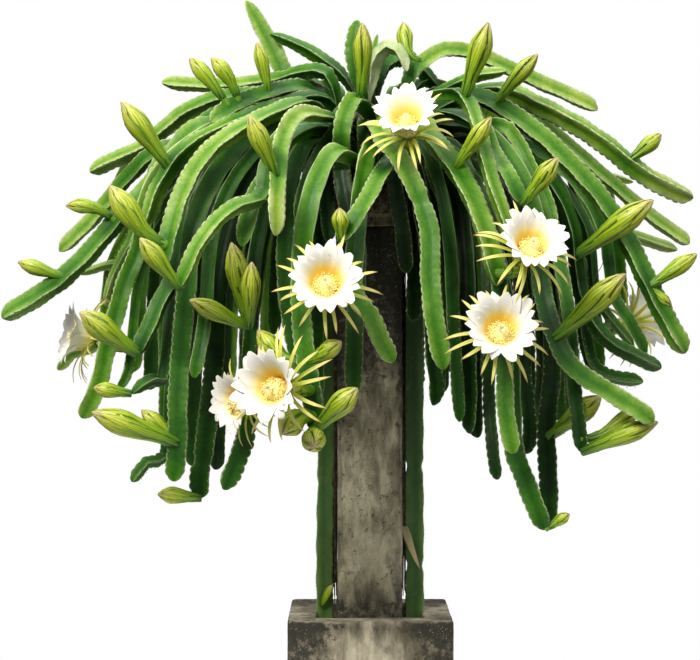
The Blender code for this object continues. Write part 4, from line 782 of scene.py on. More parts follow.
# A rib's section: degrees from its crest, reach as a share of the crest's, its share in the scallop, and its
# mark, from 0 on the rim to 1 in the middle of a face.
RIB_SECTION = ((0.0, 1.0, 1.0, 0.0), (5.5, 0.86, 0.45, 0.15), (30.0, 0.46, 0.0, 0.7), (60.0, 0.33, 0.0, 1.0),
               (90.0, 0.46, 0.0, 0.7), (114.5, 0.86, 0.45, 0.15))
# The crest's rise in the middle of a lobe and its drop at an areole, as shares of its reach; then the sway of a
# rib, in radians.
CREST_RISE = 0.05
NOTCH_DROP = 0.085
RIB_WAVE = 0.07
RIB_WAVE_LENGTH = 0.085
CLIMBER_CORK = 0.62
PAD_RADIUS = 0.0016
PAD_HEIGHT = 0.0030
SPINE_LENGTH = 0.0050
SPINE_RADIUS = 0.0006
SPINE_LEANS = (-0.6, 0.5)
GROWTH_SEED = 41

# Places across a thin blade, from edge to edge on its outer side and back on its inner one.
BLADE_SPREAD = (-1.0, -0.55, 0.0, 0.55, 1.0, 0.55, 0.0, -0.55, -1.0)
PETAL_SPREAD = (-1.0, -0.75, -0.4, 0.0, 0.4, 0.75, 1.0, 0.75, 0.4, 0.0, -0.4, -0.75, -1.0)

# Whorls of scales on a bud: how many, where each starts and ends along the bud, its half width as a share of
# the room it has, how far its tip stands off, and its lift above the bud, in mm.
BUD_WHORLS = ((5, 0.30, 0.99, 0.78, 0.0, 0.3), (5, 0.16, 0.93, 0.66, 0.2, 1.0), (6, 0.08, 0.74, 0.56, 0.8, 1.5),
              (6, 0.02, 0.44, 0.56, 2.5, 1.6), (6, -0.01, 0.22, 0.60, 3.5, 1.5))
# The grown bud: places from foot to tip, and the share of the belly's radius there.
BUD_FORM = ((0.0, 0.12, 0.30, 0.48, 0.62, 0.74, 0.86, 0.95, 1.0),
            (0.36, 0.40, 0.50, 0.76, 0.93, 0.90, 0.62, 0.30, 0.05))
NECK_SHARE = 0.46
# Whorls of scales on a flower's tube, in the same way.
TUBE_WHORLS = ((5, 0.62, 1.06, 0.62, 4.0, 0.6), (5, 0.42, 0.84, 0.62, 5.0, 1.0), (5, 0.22, 0.60, 0.62, 6.0, 1.2),
               (5, 0.05, 0.38, 0.62, 5.0, 1.4))
# One scale: its rows, its half width from foot to tip as a share of its room, its thickness, how much one edge
# stands over the other, and the height of its keel.
SCALE_ROWS = 9
SCALE_FORM = ((0.0, 0.25, 0.55, 0.8, 0.93, 1.0), (0.9, 1.1, 1.0, 0.62, 0.3, 0.02))
SCALE_THICKNESS = 0.0013
SCALE_TILT = 0.0006
SCALE_RIDGE = 0.0011

# The bowl of a bloom of size 1: places along a petal, and its height and reach there.
BOWL_PLACES = (0.0, 0.12, 0.28, 0.45, 0.62, 0.78, 0.90, 1.0)
BOWL_HEIGHT = (0.004, 0.018, 0.036, 0.052, 0.065, 0.074, 0.079, 0.081)
BOWL_REACH = (0.011, 0.020, 0.030, 0.040, 0.050, 0.061, 0.071, 0.081)
PETAL_HALF = (0.008, 0.014, 0.019, 0.023, 0.023, 0.017, 0.009, 0.0005)
# How far each bloom's bowl is drawn up and in, as shares of its height and reach, how deep its rim is cut as a
# share of a petal's length, and how far the bloom nods toward the front, in radians.
BOWL_DRAWN = ((1.25, 0.92, 0.40, 0.28), (1.0, 1.0, 0.30, 0.0), (1.08, 0.98, 0.32, 0.0), (1.0, 1.0, 0.34, 0.0),
              (1.08, 0.96, 0.32, 0.0), (1.0, 1.0, 0.30, 0.0), (1.0, 1.0, 0.34, 0.0), (1.0, 1.0, 0.34, 0.0))
# Petals in the cup and in the ring behind it, and the grid's columns across one. A petal of the cup draws its
# reach as a share, its tip's curl in m and its swerve in radians. The skin that faces out starts that pale.
PETALS = 9
CUP_COLUMNS = 10
CUP_REACHING = (0.93, 1.08)
CUP_CURL = (-0.006, 0.010)
CUP_SWERVE = (-0.12, 0.12)
# It lies a little inside the bowl and bulges along its middle. The rim is cut by two shares and a power.
CUP_INSET = 0.0025
CUP_BULGE = 0.0016
RIM_CUT = (0.65, 0.35, 2.2)
# A petal of the ring behind draws its scatter as a share of its room, its reach and its width as shares, its
# tip's drop in m, from a share of its length on, and its swerve in radians.
RING_SCATTER = 0.15
RING_REACHING = (0.96, 1.06)
RING_WIDENING = (0.92, 1.06)
RING_DROP = (-0.002, 0.014)
RING_DROP_FROM = 0.6
RING_SWERVE = 0.06
PETAL_THICKNESS = 0.0009
PETAL_TILT = 0.0005
OUTER_PALE = 0.30
# A tepal runs from its foot over its back (height and reach) to a tip at a height and a drawn reach.
TEPAL_COUNT = 18
TEPAL_FOOT = (0.002, 0.012)
TEPAL_BACK = (0.050, 0.072)
TEPAL_TIP = 0.022
TEPAL_SCATTER = 0.3
TEPAL_REACH = (0.106, 0.134)
TEPAL_DROP = (-0.042, 0.006)
TEPAL_SWERVE = 0.14
TEPAL_WIDTH = 0.0088
TEPAL_THICKNESS = 0.0013
TEPAL_FORM = ((0.0, 0.15, 0.45, 0.75, 0.92, 1.0), (0.9, 0.95, 1.0, 0.85, 0.5, 0.05))
# Stamens stand a golden turn apart. An anther, the style and a lobe of the stigma are given by their radii from
# end to end, and the bed under the anthers by the heights and reaches of its rows.
STAMEN_COUNT = 120
GOLDEN_TURN = 2.399
FILAMENT_FEET = (0.012, 0.028)
# The anthers' ring: its inner radius and its depth, how far it sinks to the lower side, and how far an anther
# reaches back and ahead of its filament's end.
ANTHER_RING = (0.004, 0.026)
ANTHER_SAG = 0.011
ANTHER_BACK = 0.0015
ANTHER_AHEAD = 0.0030
FILAMENT_RADIUS = 0.00055
ANTHER_RADII = (0.0012, 0.0020, 0.0011)
ANTHER_HEIGHTS = (0.044, 0.053)
BED_HEIGHTS = (0.010, 0.027, 0.044, 0.050)
BED_REACHES = (0.016, 0.024, 0.025, 0.013)
STYLE_RADII = (0.0020, 0.0019, 0.0024)
STIGMA_LOBES = 14
LOBE_RADII = (0.0016, 0.0013, 0.0006)
BLOOM_SEED = 300

# How fast strands that hang over a stem shade it, and how far above level its sky lies.
COVER_WEIGHT = 1.3
SKY_RISE = 0.8
# A strand nearer than this shades as if it were this far, and one further off the way to the sky than this
# cosine doesn't shade.
COVER_NEAREST = 0.04
COVER_COSINE = 0.2
# The age of a stem in the open, the painted shade that full cover adds and how that sets in, and the painted shade
# that hanging low adds, over this run up from a height.
OPEN_AGE = 0.15
COVER_PAINTED_SHADE = 0.68
COVER_POWER = 1.9
LOW_PAINTED_SHADE = 0.16
LOW_FROM = 0.75
LOW_RUN = 0.75
# The width of the one old arching stem in the crown that the sun has bleached, and how wide crown stems of a
# width have grown.
BLEACHED_WIDTH = 0.028
CROWN_GROWTH = {0.028: 0.042, 0.035: 0.060}
# One more old stem, behind the arching one, that only shows under its arch: width, then points in m.
BEHIND_ARCH = (0.050, [(0.01, 0.02, 1.52), (0.020, 0.04, 1.60), (0.038, 0.05, 1.665), (0.080, 0.06, 1.692),
                       (0.130, 0.08, 1.668), (0.180, 0.10, 1.61)])
# Old stems that hang deep inside the plant and close the gaps between the ones in front: limb, width in mm,
# place across in cm, where it comes into sight and where it ends in cm up, and its depth in cm.
INNER_STEMS = [
    ("stems_left", 40, -55, 124, 85, 4), ("stems_left", 38, -44.5, 112, 66, 8),
    ("stems_left_front", 38, -38.5, 92, 65, 4), ("stems_front_right", 38, 27, 108, 73, 2),
    ("stems_right", 38, 48, 106, 77, 6), ("stems_right", 36, 57.5, 112, 90, 8),
    ("stems_right", 40, 63, 128, 106, 6), ("stems_right_front", 38, 40, 126, 83, 4),
    ("stems_front_right", 36, 35, 122, 78, 10), ("stems_front_left", 36, -32, 104, 80, 6),
]

# Dry roots: those that hang in the crown, and those between each climbing stem and the post, which also stand in for
# the shade in that gap.
ROOT_SEED = 77
ROOT_COUNT = 150
ROOT_RADII = (0.0011, 0.0005)
CLASPING_COUNT = 16
CLASPING_RADII = (0.0019, 0.0011)
# How far to either side a thread's direction is taken from.
THREAD_REACH = 0.0005
# Half widths from foot to tip of the dry flap and the young shoot on the climbing stems, and the radius of the
# crown's knot from its foot to its top.
FLAP_FORM = ((0.0, 0.3, 0.7, 0.9, 1.0), (0.7, 1.0, 0.6, 0.35, 0.05))
SHOOT_FORM = ((0.0, 0.3, 0.7, 0.9, 1.0), (0.30, 0.85, 1.0, 0.6, 0.05))
KNOT_FORM = ((0.0, 0.08, 0.35, 0.75, 1.0), (0.055, 0.078, 0.082, 0.066, 0.030))

# The studio: lamps (name, place and target in m, size in m, power in W, colour), the sky's strength, the floor
# and the camera's lens and sensor, in mm.
LAMPS = (("key", (-2.0, -3.8, 4.2), (0.0, 0.0, 1.1), 1.8, 294.0, "#fffaf0"),
         ("top", (0.4, 0.6, 4.8), (0.0, 0.0, 1.3), 2.6, 40.0, "#ffffff"),
         ("fill", (2.6, -4.2, 2.2), (0.0, 0.0, 1.0), 2.6, 46.0, "#fffdf8"))
SKY_STRENGTH = 1.3
FLOOR_RADIUS = 1.04
LENS = 98.7
SENSOR_WIDTH = 36.0


def linear(color):
    """An sRGB hex colour as linear red, green, blue and alpha."""
    channels = [int(color[k:k + 2], 16) / 255.0 for k in (1, 3, 5)]
    return (*(c / 12.92 if c <= 0.04045 else ((c + 0.055) / 1.055) ** 2.4 for c in channels), 1.0)


def live(value):
    """A node's live output. Any other value stays as it is."""
    return next(socket for socket in value.outputs if socket.enabled) if isinstance(value, bpy.types.Node) else value


def add_node(tree, kind, links=None, stops=(), **settings):
    """Adds a node with its settings. An input takes a value, a hex colour, a socket or a node's live output."""
    made = tree.nodes.new(kind)
    for name, value in settings.items():
        setattr(made, name, value)
    if stops:
        shades = [(place, linear(c) if isinstance(c, str) else (c, c, c, 1.0)) for place, c in stops]
        elements = made.color_ramp.elements
        for element, (place, shade) in zip((elements[0], elements[1]), (shades[0], shades[-1])):
            element.position, element.color = place, shade
        for place, shade in shades[1:-1]:
            elements.new(place).color = shade
    for key, value in (links or {}).items():
        value = live(value)
        if isinstance(value, bpy.types.NodeSocket):
            tree.links.new(value, made.inputs[key])
        else:
            made.inputs[key].default_value = linear(value) if isinstance(value, str) else value
    return made


class Finish:
    """A material with its gloss and how far light soaks into it, and short ways to add the nodes of its pattern."""

    def __init__(self, name, roughness, ior=1.45, glow=0.0, glow_reach=(0.0, 0.0, 0.0)):
        self.made = bpy.data.materials.new(name)
        self.made.use_nodes = True
        self.tree = self.made.node_tree
        self.sockets = self.tree.nodes["Principled BSDF"].inputs
        self.sockets["Roughness"].default_value = roughness
        self.sockets["IOR"].default_value = ior
        self.sockets["Subsurface Weight"].default_value = glow
        self.sockets["Subsurface Radius"].default_value = glow_reach
        self.sockets["Subsurface Scale"].default_value = 1.0

    def place(self):
        return add_node(self.tree, "ShaderNodeTexCoord").outputs["Object"]

    def marks(self):
        """The four marks that the skin's points carry."""
        mark = add_node(self.tree, "ShaderNodeAttribute", attribute_name="skin")
        return (*add_node(self.tree, "ShaderNodeSeparateColor", {0: mark}).outputs, mark.outputs["Alpha"])

    def noise(self, place, scale, detail, roughness=0.5, distortion=0.0):
        return add_node(self.tree, "ShaderNodeTexNoise", {"Vector": place, "Scale": scale, "Detail": detail,
                                                          "Roughness": roughness, "Distortion": distortion})

    def cells(self, place, scale):
        return add_node(self.tree, "ShaderNodeTexVoronoi", {"Vector": place, "Scale": scale})

    def ramp(self, value, *stops):
        return add_node(self.tree, "ShaderNodeValToRGB", {0: value}, stops)

    def calc(self, operation, *values, clamp=False):
        return add_node(self.tree, "ShaderNodeMath", dict(enumerate(values)), operation=operation, use_clamp=clamp)

    def mix(self, share, one, other, way="MIX"):
        return add_node(self.tree, "ShaderNodeMix", {0: share, 6: one, 7: other}, data_type="RGBA", blend_type=way)

    def put(self, value, socket):
        self.tree.links.new(live(value), self.sockets[socket])

    def covered(self, color, height=None, strength=0.0, distance=0.0):
        """The material, once its colour and its bump are set. The bump's distance is in m."""
        self.put(color, "Base Color")
        if height is not None:
            self.put(add_node(self.tree, "ShaderNodeBump", {"Height": height, "Strength": strength,
                                                            "Distance": distance}), "Normal")
        return self.made


def waxy_stem():
    """Cactus stem: green flesh under a waxy cuticle. Satin, bluish and paler toward the ribs, partly with painted
    sheen, with a rim of cork; darker with age and with painted shade under other stems and low down.
    """
    stem = Finish("waxy_cactus_stem", roughness=0.42, ior=1.29, glow=0.08, glow_reach=(0.003, 0.006, 0.0015))
    place = stem.place()
    near, shade, notch, cork = stem.marks()
    # Cloudy patches 40 mm wide, pores 3 mm apart, corky scabs of 15 mm and specks of 7 mm.
    mottle = stem.noise(place, 25.0, 4.0)
    pores = stem.noise(place, 320.0, 2.0)
    scabs = stem.noise(place, 65.0, 6.0, 0.7)
    specks = stem.noise(place, 150.0, 6.0, 0.75)
    # The second mark holds age and painted shade; cloudy patches vary it, and the greens below darken with both.
    age = stem.calc("ADD", shade, stem.calc("MULTIPLY_ADD", mottle, 0.44, -0.22), clamp=True)
    face = stem.ramp(age, (0.0, "#7c9824"), (0.2, "#4f8014"), (0.42, "#31670c"), (0.68, "#1c480c"), (1.0, "#092006"))
    # Paler toward the ribs: partly the ribs' own paler green, partly painted sheen.
    flank_with_painted_sheen = stem.ramp(age, (0.0, "#a8b874"), (0.2, "#7fa045"), (0.42, "#4f7f1e"), (0.68, "#2c5c14"), (1.0, "#13310a"))
    plain = stem.mix(stem.ramp(near, (0.15, 1.0), (0.85, 0.0)), face, flank_with_painted_sheen)
    flesh = stem.mix(0.75, plain, stem.ramp(specks, (0.3, 0.32), (0.5, 0.5), (0.7, 0.70)), "OVERLAY")
    # A pale, scabby rim, clearest on young stems and fading under painted shade, and a dry mark in each notch.
    on_rim = stem.ramp(near, (0.02, 1.0), (0.14, 0.0))
    scabby = stem.calc("MULTIPLY_ADD", on_rim, scabs, 0.25, clamp=True)
    rim_fade_by_age_and_shade = stem.calc("MULTIPLY", scabby, stem.ramp(age, (0.3, 1.0), (0.85, 0.3)))
    rimmed = stem.mix(stem.calc("MULTIPLY", on_rim, rim_fade_by_age_and_shade), flesh, "#d3dcb2")
    dotted = stem.mix(stem.calc("MULTIPLY", notch, 0.75), rimmed, "#8a8060")
    # The last mark: over 0.6 on the dull climbing stems, which scab most, and under 0 on the bleached one.
    corky = stem.ramp(stem.calc("MULTIPLY", scabs, cork), (0.36, 0.0), (0.46, 1.0))
    aged = stem.mix(stem.ramp(cork, (0.60, 0.0), (0.62, 0.55)), dotted, "#4f6348")
    skin = stem.mix(corky, aged, "#776a4c")
    faded = stem.ramp(mottle, (0.35, "#93a86c"), (0.6, "#c3cda2"))
    bleached = stem.mix(stem.calc("LESS_THAN", cork, -0.5), skin, faded)
    stem.put(stem.ramp(mottle, (0.3, 0.36), (0.7, 0.52)), "Roughness")
    return stem.covered(bleached, pores, strength=0.25, distance=0.001)


def bud_scales():
    """Flower bud: waxy, keeled scales, yellow-green along the middle and dark green down their edges."""
    scale = Finish("waxy_bud_scale", roughness=0.40, glow=0.12, glow_reach=(0.005, 0.005, 0.0015))
    across, along, shade, _ = scale.marks()
    # Cloudy patches 12 mm wide; five green veins run along a scale, about 3 mm apart.
    mottle = scale.noise(scale.place(), 85.0, 4.0)
    keel = scale.ramp(along, (0.0, "#5c8c1e"), (0.25, "#86ab20"), (0.6, "#b1c52a"), (0.85, "#cdd352"),
                      (1.0, "#d6cf90"))
    edge = scale.ramp(along, (0.0, "#28520f"), (0.3, "#36640f"), (0.65, "#4a7313"), (0.9, "#7a842c"),
                      (1.0, "#957a50"))
    off_middle = scale.calc("ABSOLUTE", scale.calc("SUBTRACT", across, 0.5))
    blurred = scale.calc("MULTIPLY_ADD", mottle, 0.16, off_middle)
    to_edge = scale.ramp(blurred, (0.18, 0.0), (0.38, 0.5), (0.52, 0.9))
    vein = scale.calc("SINE", scale.calc("MULTIPLY", across, 31.4))
    lined = scale.calc("MAXIMUM", to_edge, scale.ramp(vein, (0.2, 0.0), (0.9, 0.70)))
    green = scale.mix(shade, scale.mix(lined, keel, edge), "#335f1a")
    return scale.covered(green, scale.calc("MULTIPLY_ADD", vein, 0.4, mottle), strength=0.3, distance=0.0008)


def areole_felt():
    """Areole: a pad of short felt with dry spines. Dull and pale brown, in tufts under 1 mm drawn at 1 mm."""
    felt = Finish("dry_areole_felt", roughness=0.9)
    tufts = felt.noise(felt.place(), 1000.0, 2.0)
    return felt.covered(felt.ramp(tufts, (0.3, "#7c7050"), (0.7, "#bfb48c")))


def petal_flesh(name, stops, vein_color, roughness, glow):
    """Thin wet flesh of a petal, tepal or stamen: colour runs from foot to tip over faint lengthwise veins."""
    flesh = Finish(name, roughness, ior=1.4, glow=glow, glow_reach=(0.0020, 0.0018, 0.0012))
    across, along = flesh.marks()[:2]
    # Veins about 2.5 mm apart on a petal 55 mm wide, over soft dents of 6 mm.
    vein = flesh.calc("SINE", flesh.calc("MULTIPLY", across, 130.0))
    skin = flesh.mix(flesh.ramp(vein, (0.55, 0.0), (1.0, 0.14)), flesh.ramp(along, *stops), vein_color)
    dents = flesh.noise(flesh.place(), 160.0, 3.0)
    return flesh.covered(skin, flesh.calc("MULTIPLY_ADD", vein, 0.3, dents), strength=0.25, distance=0.0006)


def weathered_concrete(name, light, base, stain):
    """Cast concrete left outdoors: dull cement grey over sand, with algae runs, moss, air pits and worn edges."""
    cast = Finish(name, roughness=0.94, ior=1.5)
    place = cast.place()
    damp, worn = cast.marks()[:2]
    # Clouds 120 mm wide, runs 30 mm wide and 90 mm long, moss in tufts of 20 mm and sand of 2 mm.
    cloud = cast.noise(place, 8.0, 8.0, 0.62)
    cement = cast.ramp(cloud, (0.40, base), (0.60, light))
    stretched = add_node(cast.tree, "ShaderNodeMapping", {"Vector": place, "Scale": (1.0, 1.0, 0.35)})
    runs = cast.noise(stretched, 33.0, 7.0, 0.66, 0.4)
    grime = cast.ramp(cast.calc("MULTIPLY_ADD", damp, 0.45, runs), (0.46, 0.0), (0.60, 0.5), (0.80, 0.95))
    stained = cast.mix(grime, cement, stain)
    tufts = cast.noise(place, 50.0, 9.0, 0.7)
    moss = cast.ramp(cast.calc("MULTIPLY_ADD", damp, 0.6, tufts), (0.74, 0.0), (0.84, 0.9))
    sand = cast.noise(place, 450.0, 3.0, 0.7)
    sandy = cast.mix(0.7, cast.mix(moss, stained, "#23231a"), cast.ramp(sand, (0.25, 0.36), (0.5, 0.5), (0.8, 0.64)),
                     "OVERLAY")
    edged = cast.mix(cast.ramp(cast.calc("MULTIPLY", worn, cloud), (0.28, 0.0), (0.50, 0.8)), sandy, "#c2b9a2")
    # Air pits of 5 mm, in groups 100 mm wide.
    shallow = cast.calc("SUBTRACT", cast.cells(place, 105.0), 0.20)
    pit = cast.ramp(cast.calc("MULTIPLY_ADD", tufts, 0.5, shallow), (0.08, 1.0), (0.18, 0.0))
    grouped = cast.ramp(cast.noise(place, 9.0, 3.0), (0.44, 0.0), (0.54, 1.0))
    sparse = cast.calc("MULTIPLY", pit, grouped)
    # Hair cracks run in bits where a slow pattern crosses its middle value, in the same groups.
    web = cast.noise(place, 24.0, 5.0, 0.6)
    off_middle = cast.calc("ABSOLUTE", cast.calc("SUBTRACT", web, 0.5))
    crack = cast.ramp(off_middle, (0.004, 1.0), (0.014, 0.0))
    in_bits = cast.calc("MULTIPLY", crack, cast.ramp(tufts, (0.50, 0.0), (0.58, 1.0)))
    pits = cast.calc("MAXIMUM", sparse, cast.calc("MULTIPLY", in_bits, grouped))
    # Crusts of pale lichen, 3 mm across, sit where the concrete stays damp.
    ragged = cast.calc("MULTIPLY_ADD", tufts, 0.9, cast.cells(place, 170.0))
    growing = cast.ramp(cast.calc("MULTIPLY", web, damp), (0.24, 0.0), (0.32, 0.55))
    lichen = cast.calc("MULTIPLY", cast.ramp(ragged, (0.56, 1.0), (0.66, 0.0)), growing)
    pitted = cast.mix(pits, cast.mix(lichen, edged, "#b7b29c"), "#15130d")
    height = cast.calc("SUBTRACT", cast.calc("ADD", sand, cloud), pits)
    return cast.covered(pitted, height, strength=0.7, distance=0.002)


def crumbly_soil():
    """Potting soil: dull dark crumbs of peat, 8 mm across, with lighter grit and bits of bark."""
    soil = Finish("crumbly_soil", roughness=1.0)
    crumbs = soil.noise(soil.place(), 130.0, 6.0, 0.7)
    brown = soil.ramp(crumbs, (0.35, "#1f1710"), (0.6, "#3f3122"), (0.75, "#6b5a44"))
    return soil.covered(brown, crumbs, strength=1.0, distance=0.004)


def old_bark():
    """Old corky stem and dry aerial root: dull grey-brown, split lengthwise every 12 mm or so."""
    bark = Finish("old_cactus_bark", roughness=0.95)
    splits = bark.noise(bark.place(), 80.0, 8.0, 0.7)
    grey = bark.ramp(splits, (0.35, "#1f1a12"), (0.55, "#4b3f2e"), (0.75, "#8d7f66"))
    return bark.covered(grey, splits, strength=0.8, distance=0.003)


def welded(points, marks, finish=0):
    """A skin: a grid laid over rows of points that carry marks, welded where they meet."""
    rows, columns = points.shape[:2]
    bm = bmesh.new()
    layer = bm.verts.layers.float_color.new("skin")
    bmesh.ops.create_grid(bm, x_segments=columns - 1, y_segments=rows - 1, size=0.5)
    for vert, place, mark in zip(bm.verts, points.reshape(-1, 3), marks.reshape(-1, 4)):
        vert.co = place
        vert[layer] = mark
    bmesh.ops.remove_doubles(bm, verts=bm.verts, dist=1e-6)
    bmesh.ops.recalc_face_normals(bm, faces=bm.faces)
    for face in bm.faces:
        face.material_index = finish
        face.smooth = True
    return bm


def drawn_over(points, marks, finish=0):
    """A closed skin over rings of points, with each end gathered in one point."""
    ends = [np.broadcast_to(row.mean(axis=1, keepdims=True), row.shape) for row in (points[:1], points[-1:])]
    return welded(np.concatenate((ends[0], points, ends[1])), np.concatenate((marks[:1], marks, marks[-1:])), finish)


def add_piece(name, bodies, materials, stands_for):
    """Makes one piece of the object from bodies, in place of CAD nodes."""
    whole = bmesh.new()
    whole.verts.layers.float_color.new("skin")
    for body in bodies:
        scrap = bpy.data.meshes.new("scrap")
        body.to_mesh(scrap)
        body.free()
        whole.from_mesh(scrap)
        bpy.data.meshes.remove(scrap)
    mesh = bpy.data.meshes.new(name)
    whole.to_mesh(mesh)
    whole.free()
    made = bpy.data.objects.new(name, mesh)
    for finish in materials:
        mesh.materials.append(finish)
    bpy.context.scene.collection.objects.link(made)
    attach(made, "root")
    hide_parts(*stands_for)


def ring_points(centers, sides, others, turns, sizes):
    """Rings of points round a line: an angle and a distance for every point."""
    return (centers[:, None, :] + sizes[:, :, None] * (np.cos(turns)[:, :, None] * sides[:, None, :]
                                                       + np.sin(turns)[:, :, None] * others[:, None, :]))


def full_turns(rows, columns):
    """The angles of points once round, in each of some rows. The last point of a row stands on its first."""
    return np.tile(np.arange(columns + 1) * 2.0 * math.pi / columns, (rows, 1))


def round_points(rings, turns, sizes):
    """Rings of points once round a line, closed exactly."""
    points = ring_points(*rings, turns, np.broadcast_to(sizes, turns.shape))
    points[:, -1] = points[:, 0]
    return points


def marked(*channels):
    """Marks for a grid of points from four channels, each a number, a row, a column or a whole grid."""
    return np.stack(np.broadcast_arrays(*channels), axis=-1).astype(float)


def find_cover(strands):
    """Sets how much of the sky the other strands hide at each point of a strand's line, from 0 to 1."""
    points = np.concatenate([strand.line for strand in strands])
    areas = np.concatenate([np.full(len(strand.line), strand.width * LINE_STEP) for strand in strands])
    owners = np.concatenate([np.full(len(strand.line), number) for number, strand in enumerate(strands)])
    for number, strand in enumerate(strands):
        sky = strand.line * np.array((1.0, 1.0, 0.0))
        sky = sky / np.linalg.norm(sky, axis=1)[:, None] + np.array((0.0, 0.0, SKY_RISE))
        sky /= np.linalg.norm(sky, axis=1)[:, None]
        apart = points[None] - strand.line[:, None]
        distance = np.maximum(np.linalg.norm(apart, axis=2), COVER_NEAREST)
        over = np.clip((apart * sky[:, None]).sum(axis=2) / distance - COVER_COSINE, 0.0, 1.0)
        hidden = over * areas / distance ** 2
        hidden[:, owners == number] = 0.0
        strand.cover = 1.0 - np.exp(-COVER_WEIGHT * hidden.sum(axis=1))


def painted_shade_of(strand, places, points):
    """Painted shade on a stem over its age in the open: 0 outside and on top, 1 deep inside and low down."""
    cover = np.interp(places, arc_length(strand.line), strand.cover)[:, None]
    low = 1.0 - rising(points[..., 2], LOW_FROM, LOW_RUN)
    return OPEN_AGE + COVER_PAINTED_SHADE * cover ** COVER_POWER + (0.0 if strand.kind == "climber" else LOW_PAINTED_SHADE) * low


def rib_turn(strand, places, rib):
    """The angle of a rib's crest round a stem, with the slow twist and the sway of a grown one."""
    twisted = facing_turn(strand, places) + strand.twist * (places / strand.length() - 0.5)
    sway = RIB_WAVE * np.sin(2.0 * math.pi * places / RIB_WAVE_LENGTH + strand.twist * 9.0 + rib * 2.0)
    return twisted, sway


def scallop(places, rib):
    """The rise of a rib's crest between areoles: 1 in the middle of a lobe, 0 at an areole."""
    return np.abs(np.sin(math.pi * (places / LOBE + RIB_PHASES[rib]))) ** 0.6


def grown_width(strand, places):
    """A stem's reach from its middle to a rib's crest, drawn out to a blunt point at its tip."""
    left = strand.length() - places
    rest = np.clip(left / min(strand.taper, 0.4 * strand.length()), 0.0, 1.0)
    slim = CROWN_SLIM * np.clip(1.0 - left / CROWN_TAPER, 0.0, 1.0) if strand.limb == "crown" else 0.0
    return strand.body_radius(places) * (1.0 - slim) * (1.0 - (1.0 - rest) ** TIP_POWERS[0]) ** TIP_POWERS[1]


def grown_stem(strand):
    """A three-ribbed stem: hollow faces, and ribs with scalloped rims."""
    total = strand.length()
    bare = strand.hidden if strand.hidden > 0.05 else 0.0
    step = LOBE / (RINGS_A_LOBE if strand.laid else RINGS_A_LOBE - 1)
    first = math.ceil(bare / step)
    places = np.concatenate((np.arange(0.0, (first - 0.5) * step, LEAD_STEP), step * np.arange(first, total / step - 1),
                             total - step * np.array((0.75, 0.45, 0.22, 0.06))))
    centers, _, sides, others = frames(strand.line, places)
    sizes = grown_width(strand, places)
    turns, reaches, near, notches = [], [], [], []
    for rib in range(3):
        drop = 1.0 - scallop(places, rib)
        rise = strand.scallop * (CREST_RISE - (CREST_RISE + NOTCH_DROP) * drop)
        turn, sway = rib_turn(strand, places, rib)
        for angle, reach, share, margin in RIB_SECTION:
            turns.append(turn + math.pi / 3.0 + math.radians(120.0 * rib + angle) + sway * share)
            reaches.append(sizes * reach * (1.0 + share * rise))
            near.append(np.full(len(places), margin))
            notches.append((drop > 0.9) * (1.0 if margin == 0.0 else 0.0))
    for column in (turns, reaches, near, notches):
        column.append(column[0])
    turns, reaches, near, notches = (np.array(column).T for column in (turns, reaches, near, notches))
    points = ring_points(centers, sides, others, turns, reaches)
    youth = rising(places / total, YOUNG_FROM, YOUNG_RUN)[:, None]
    # The second mark: the stem's own age and youth, with painted shade where other strands hide its sky and where it
    # hangs low.
    age = np.clip(strand.age + painted_shade_of(strand, places, points) - strand.youth * youth, 0.0, 1.0)
    return drawn_over(points, marked(near, age, notches, strand.cork))


def areoles(strand):
    """The felted pads with short spines, one in each notch of the ribs outside the crown."""
    bm = bmesh.new()
    bm.verts.layers.float_color.new("skin")
    total = strand.length()
    for rib in range(3):
        places = LOBE * (np.arange(1, total / LOBE) - RIB_PHASES[rib])
        places = places[(places > strand.hidden) & (places < total - 0.012)]
        if len(places) < 2:
            continue
        centers, tangents, sides, others = frames(strand.line, places)
        turn, sway = rib_turn(strand, places, rib)
        turn = turn + math.pi / 3.0 + math.radians(120.0 * rib)
        outs = np.cos(turn + sway)[:, None] * sides + np.sin(turn + sway)[:, None] * others
        spots = centers + (grown_width(strand, places) * (1.0 - strand.scallop * NOTCH_DROP))[:, None] * outs
        for spot, tangent, out in zip(spots, tangents, outs):
            if math.hypot(spot[0], spot[1]) < BARE_RADIUS:
                continue
            stand = Matrix.Translation(spot) @ Matrix((np.cross(tangent, out), tangent, out)).transposed().to_4x4()
            bmesh.ops.create_cone(bm, cap_ends=True, segments=4, radius1=PAD_RADIUS, radius2=0.0, depth=PAD_HEIGHT,
                                  matrix=stand)
            for lean in SPINE_LEANS[:2 if strand.laid else 1]:
                bmesh.ops.create_cone(bm, cap_ends=True, segments=3, radius1=SPINE_RADIUS, radius2=0.0,
                                      depth=SPINE_LENGTH, matrix=stand @ Matrix.Rotation(lean, 4, "X")
                                      @ Matrix.Translation((0.0, 0.0, 0.5 * SPINE_LENGTH)))
    for face in bm.faces:
        face.material_index = 2
    return bm


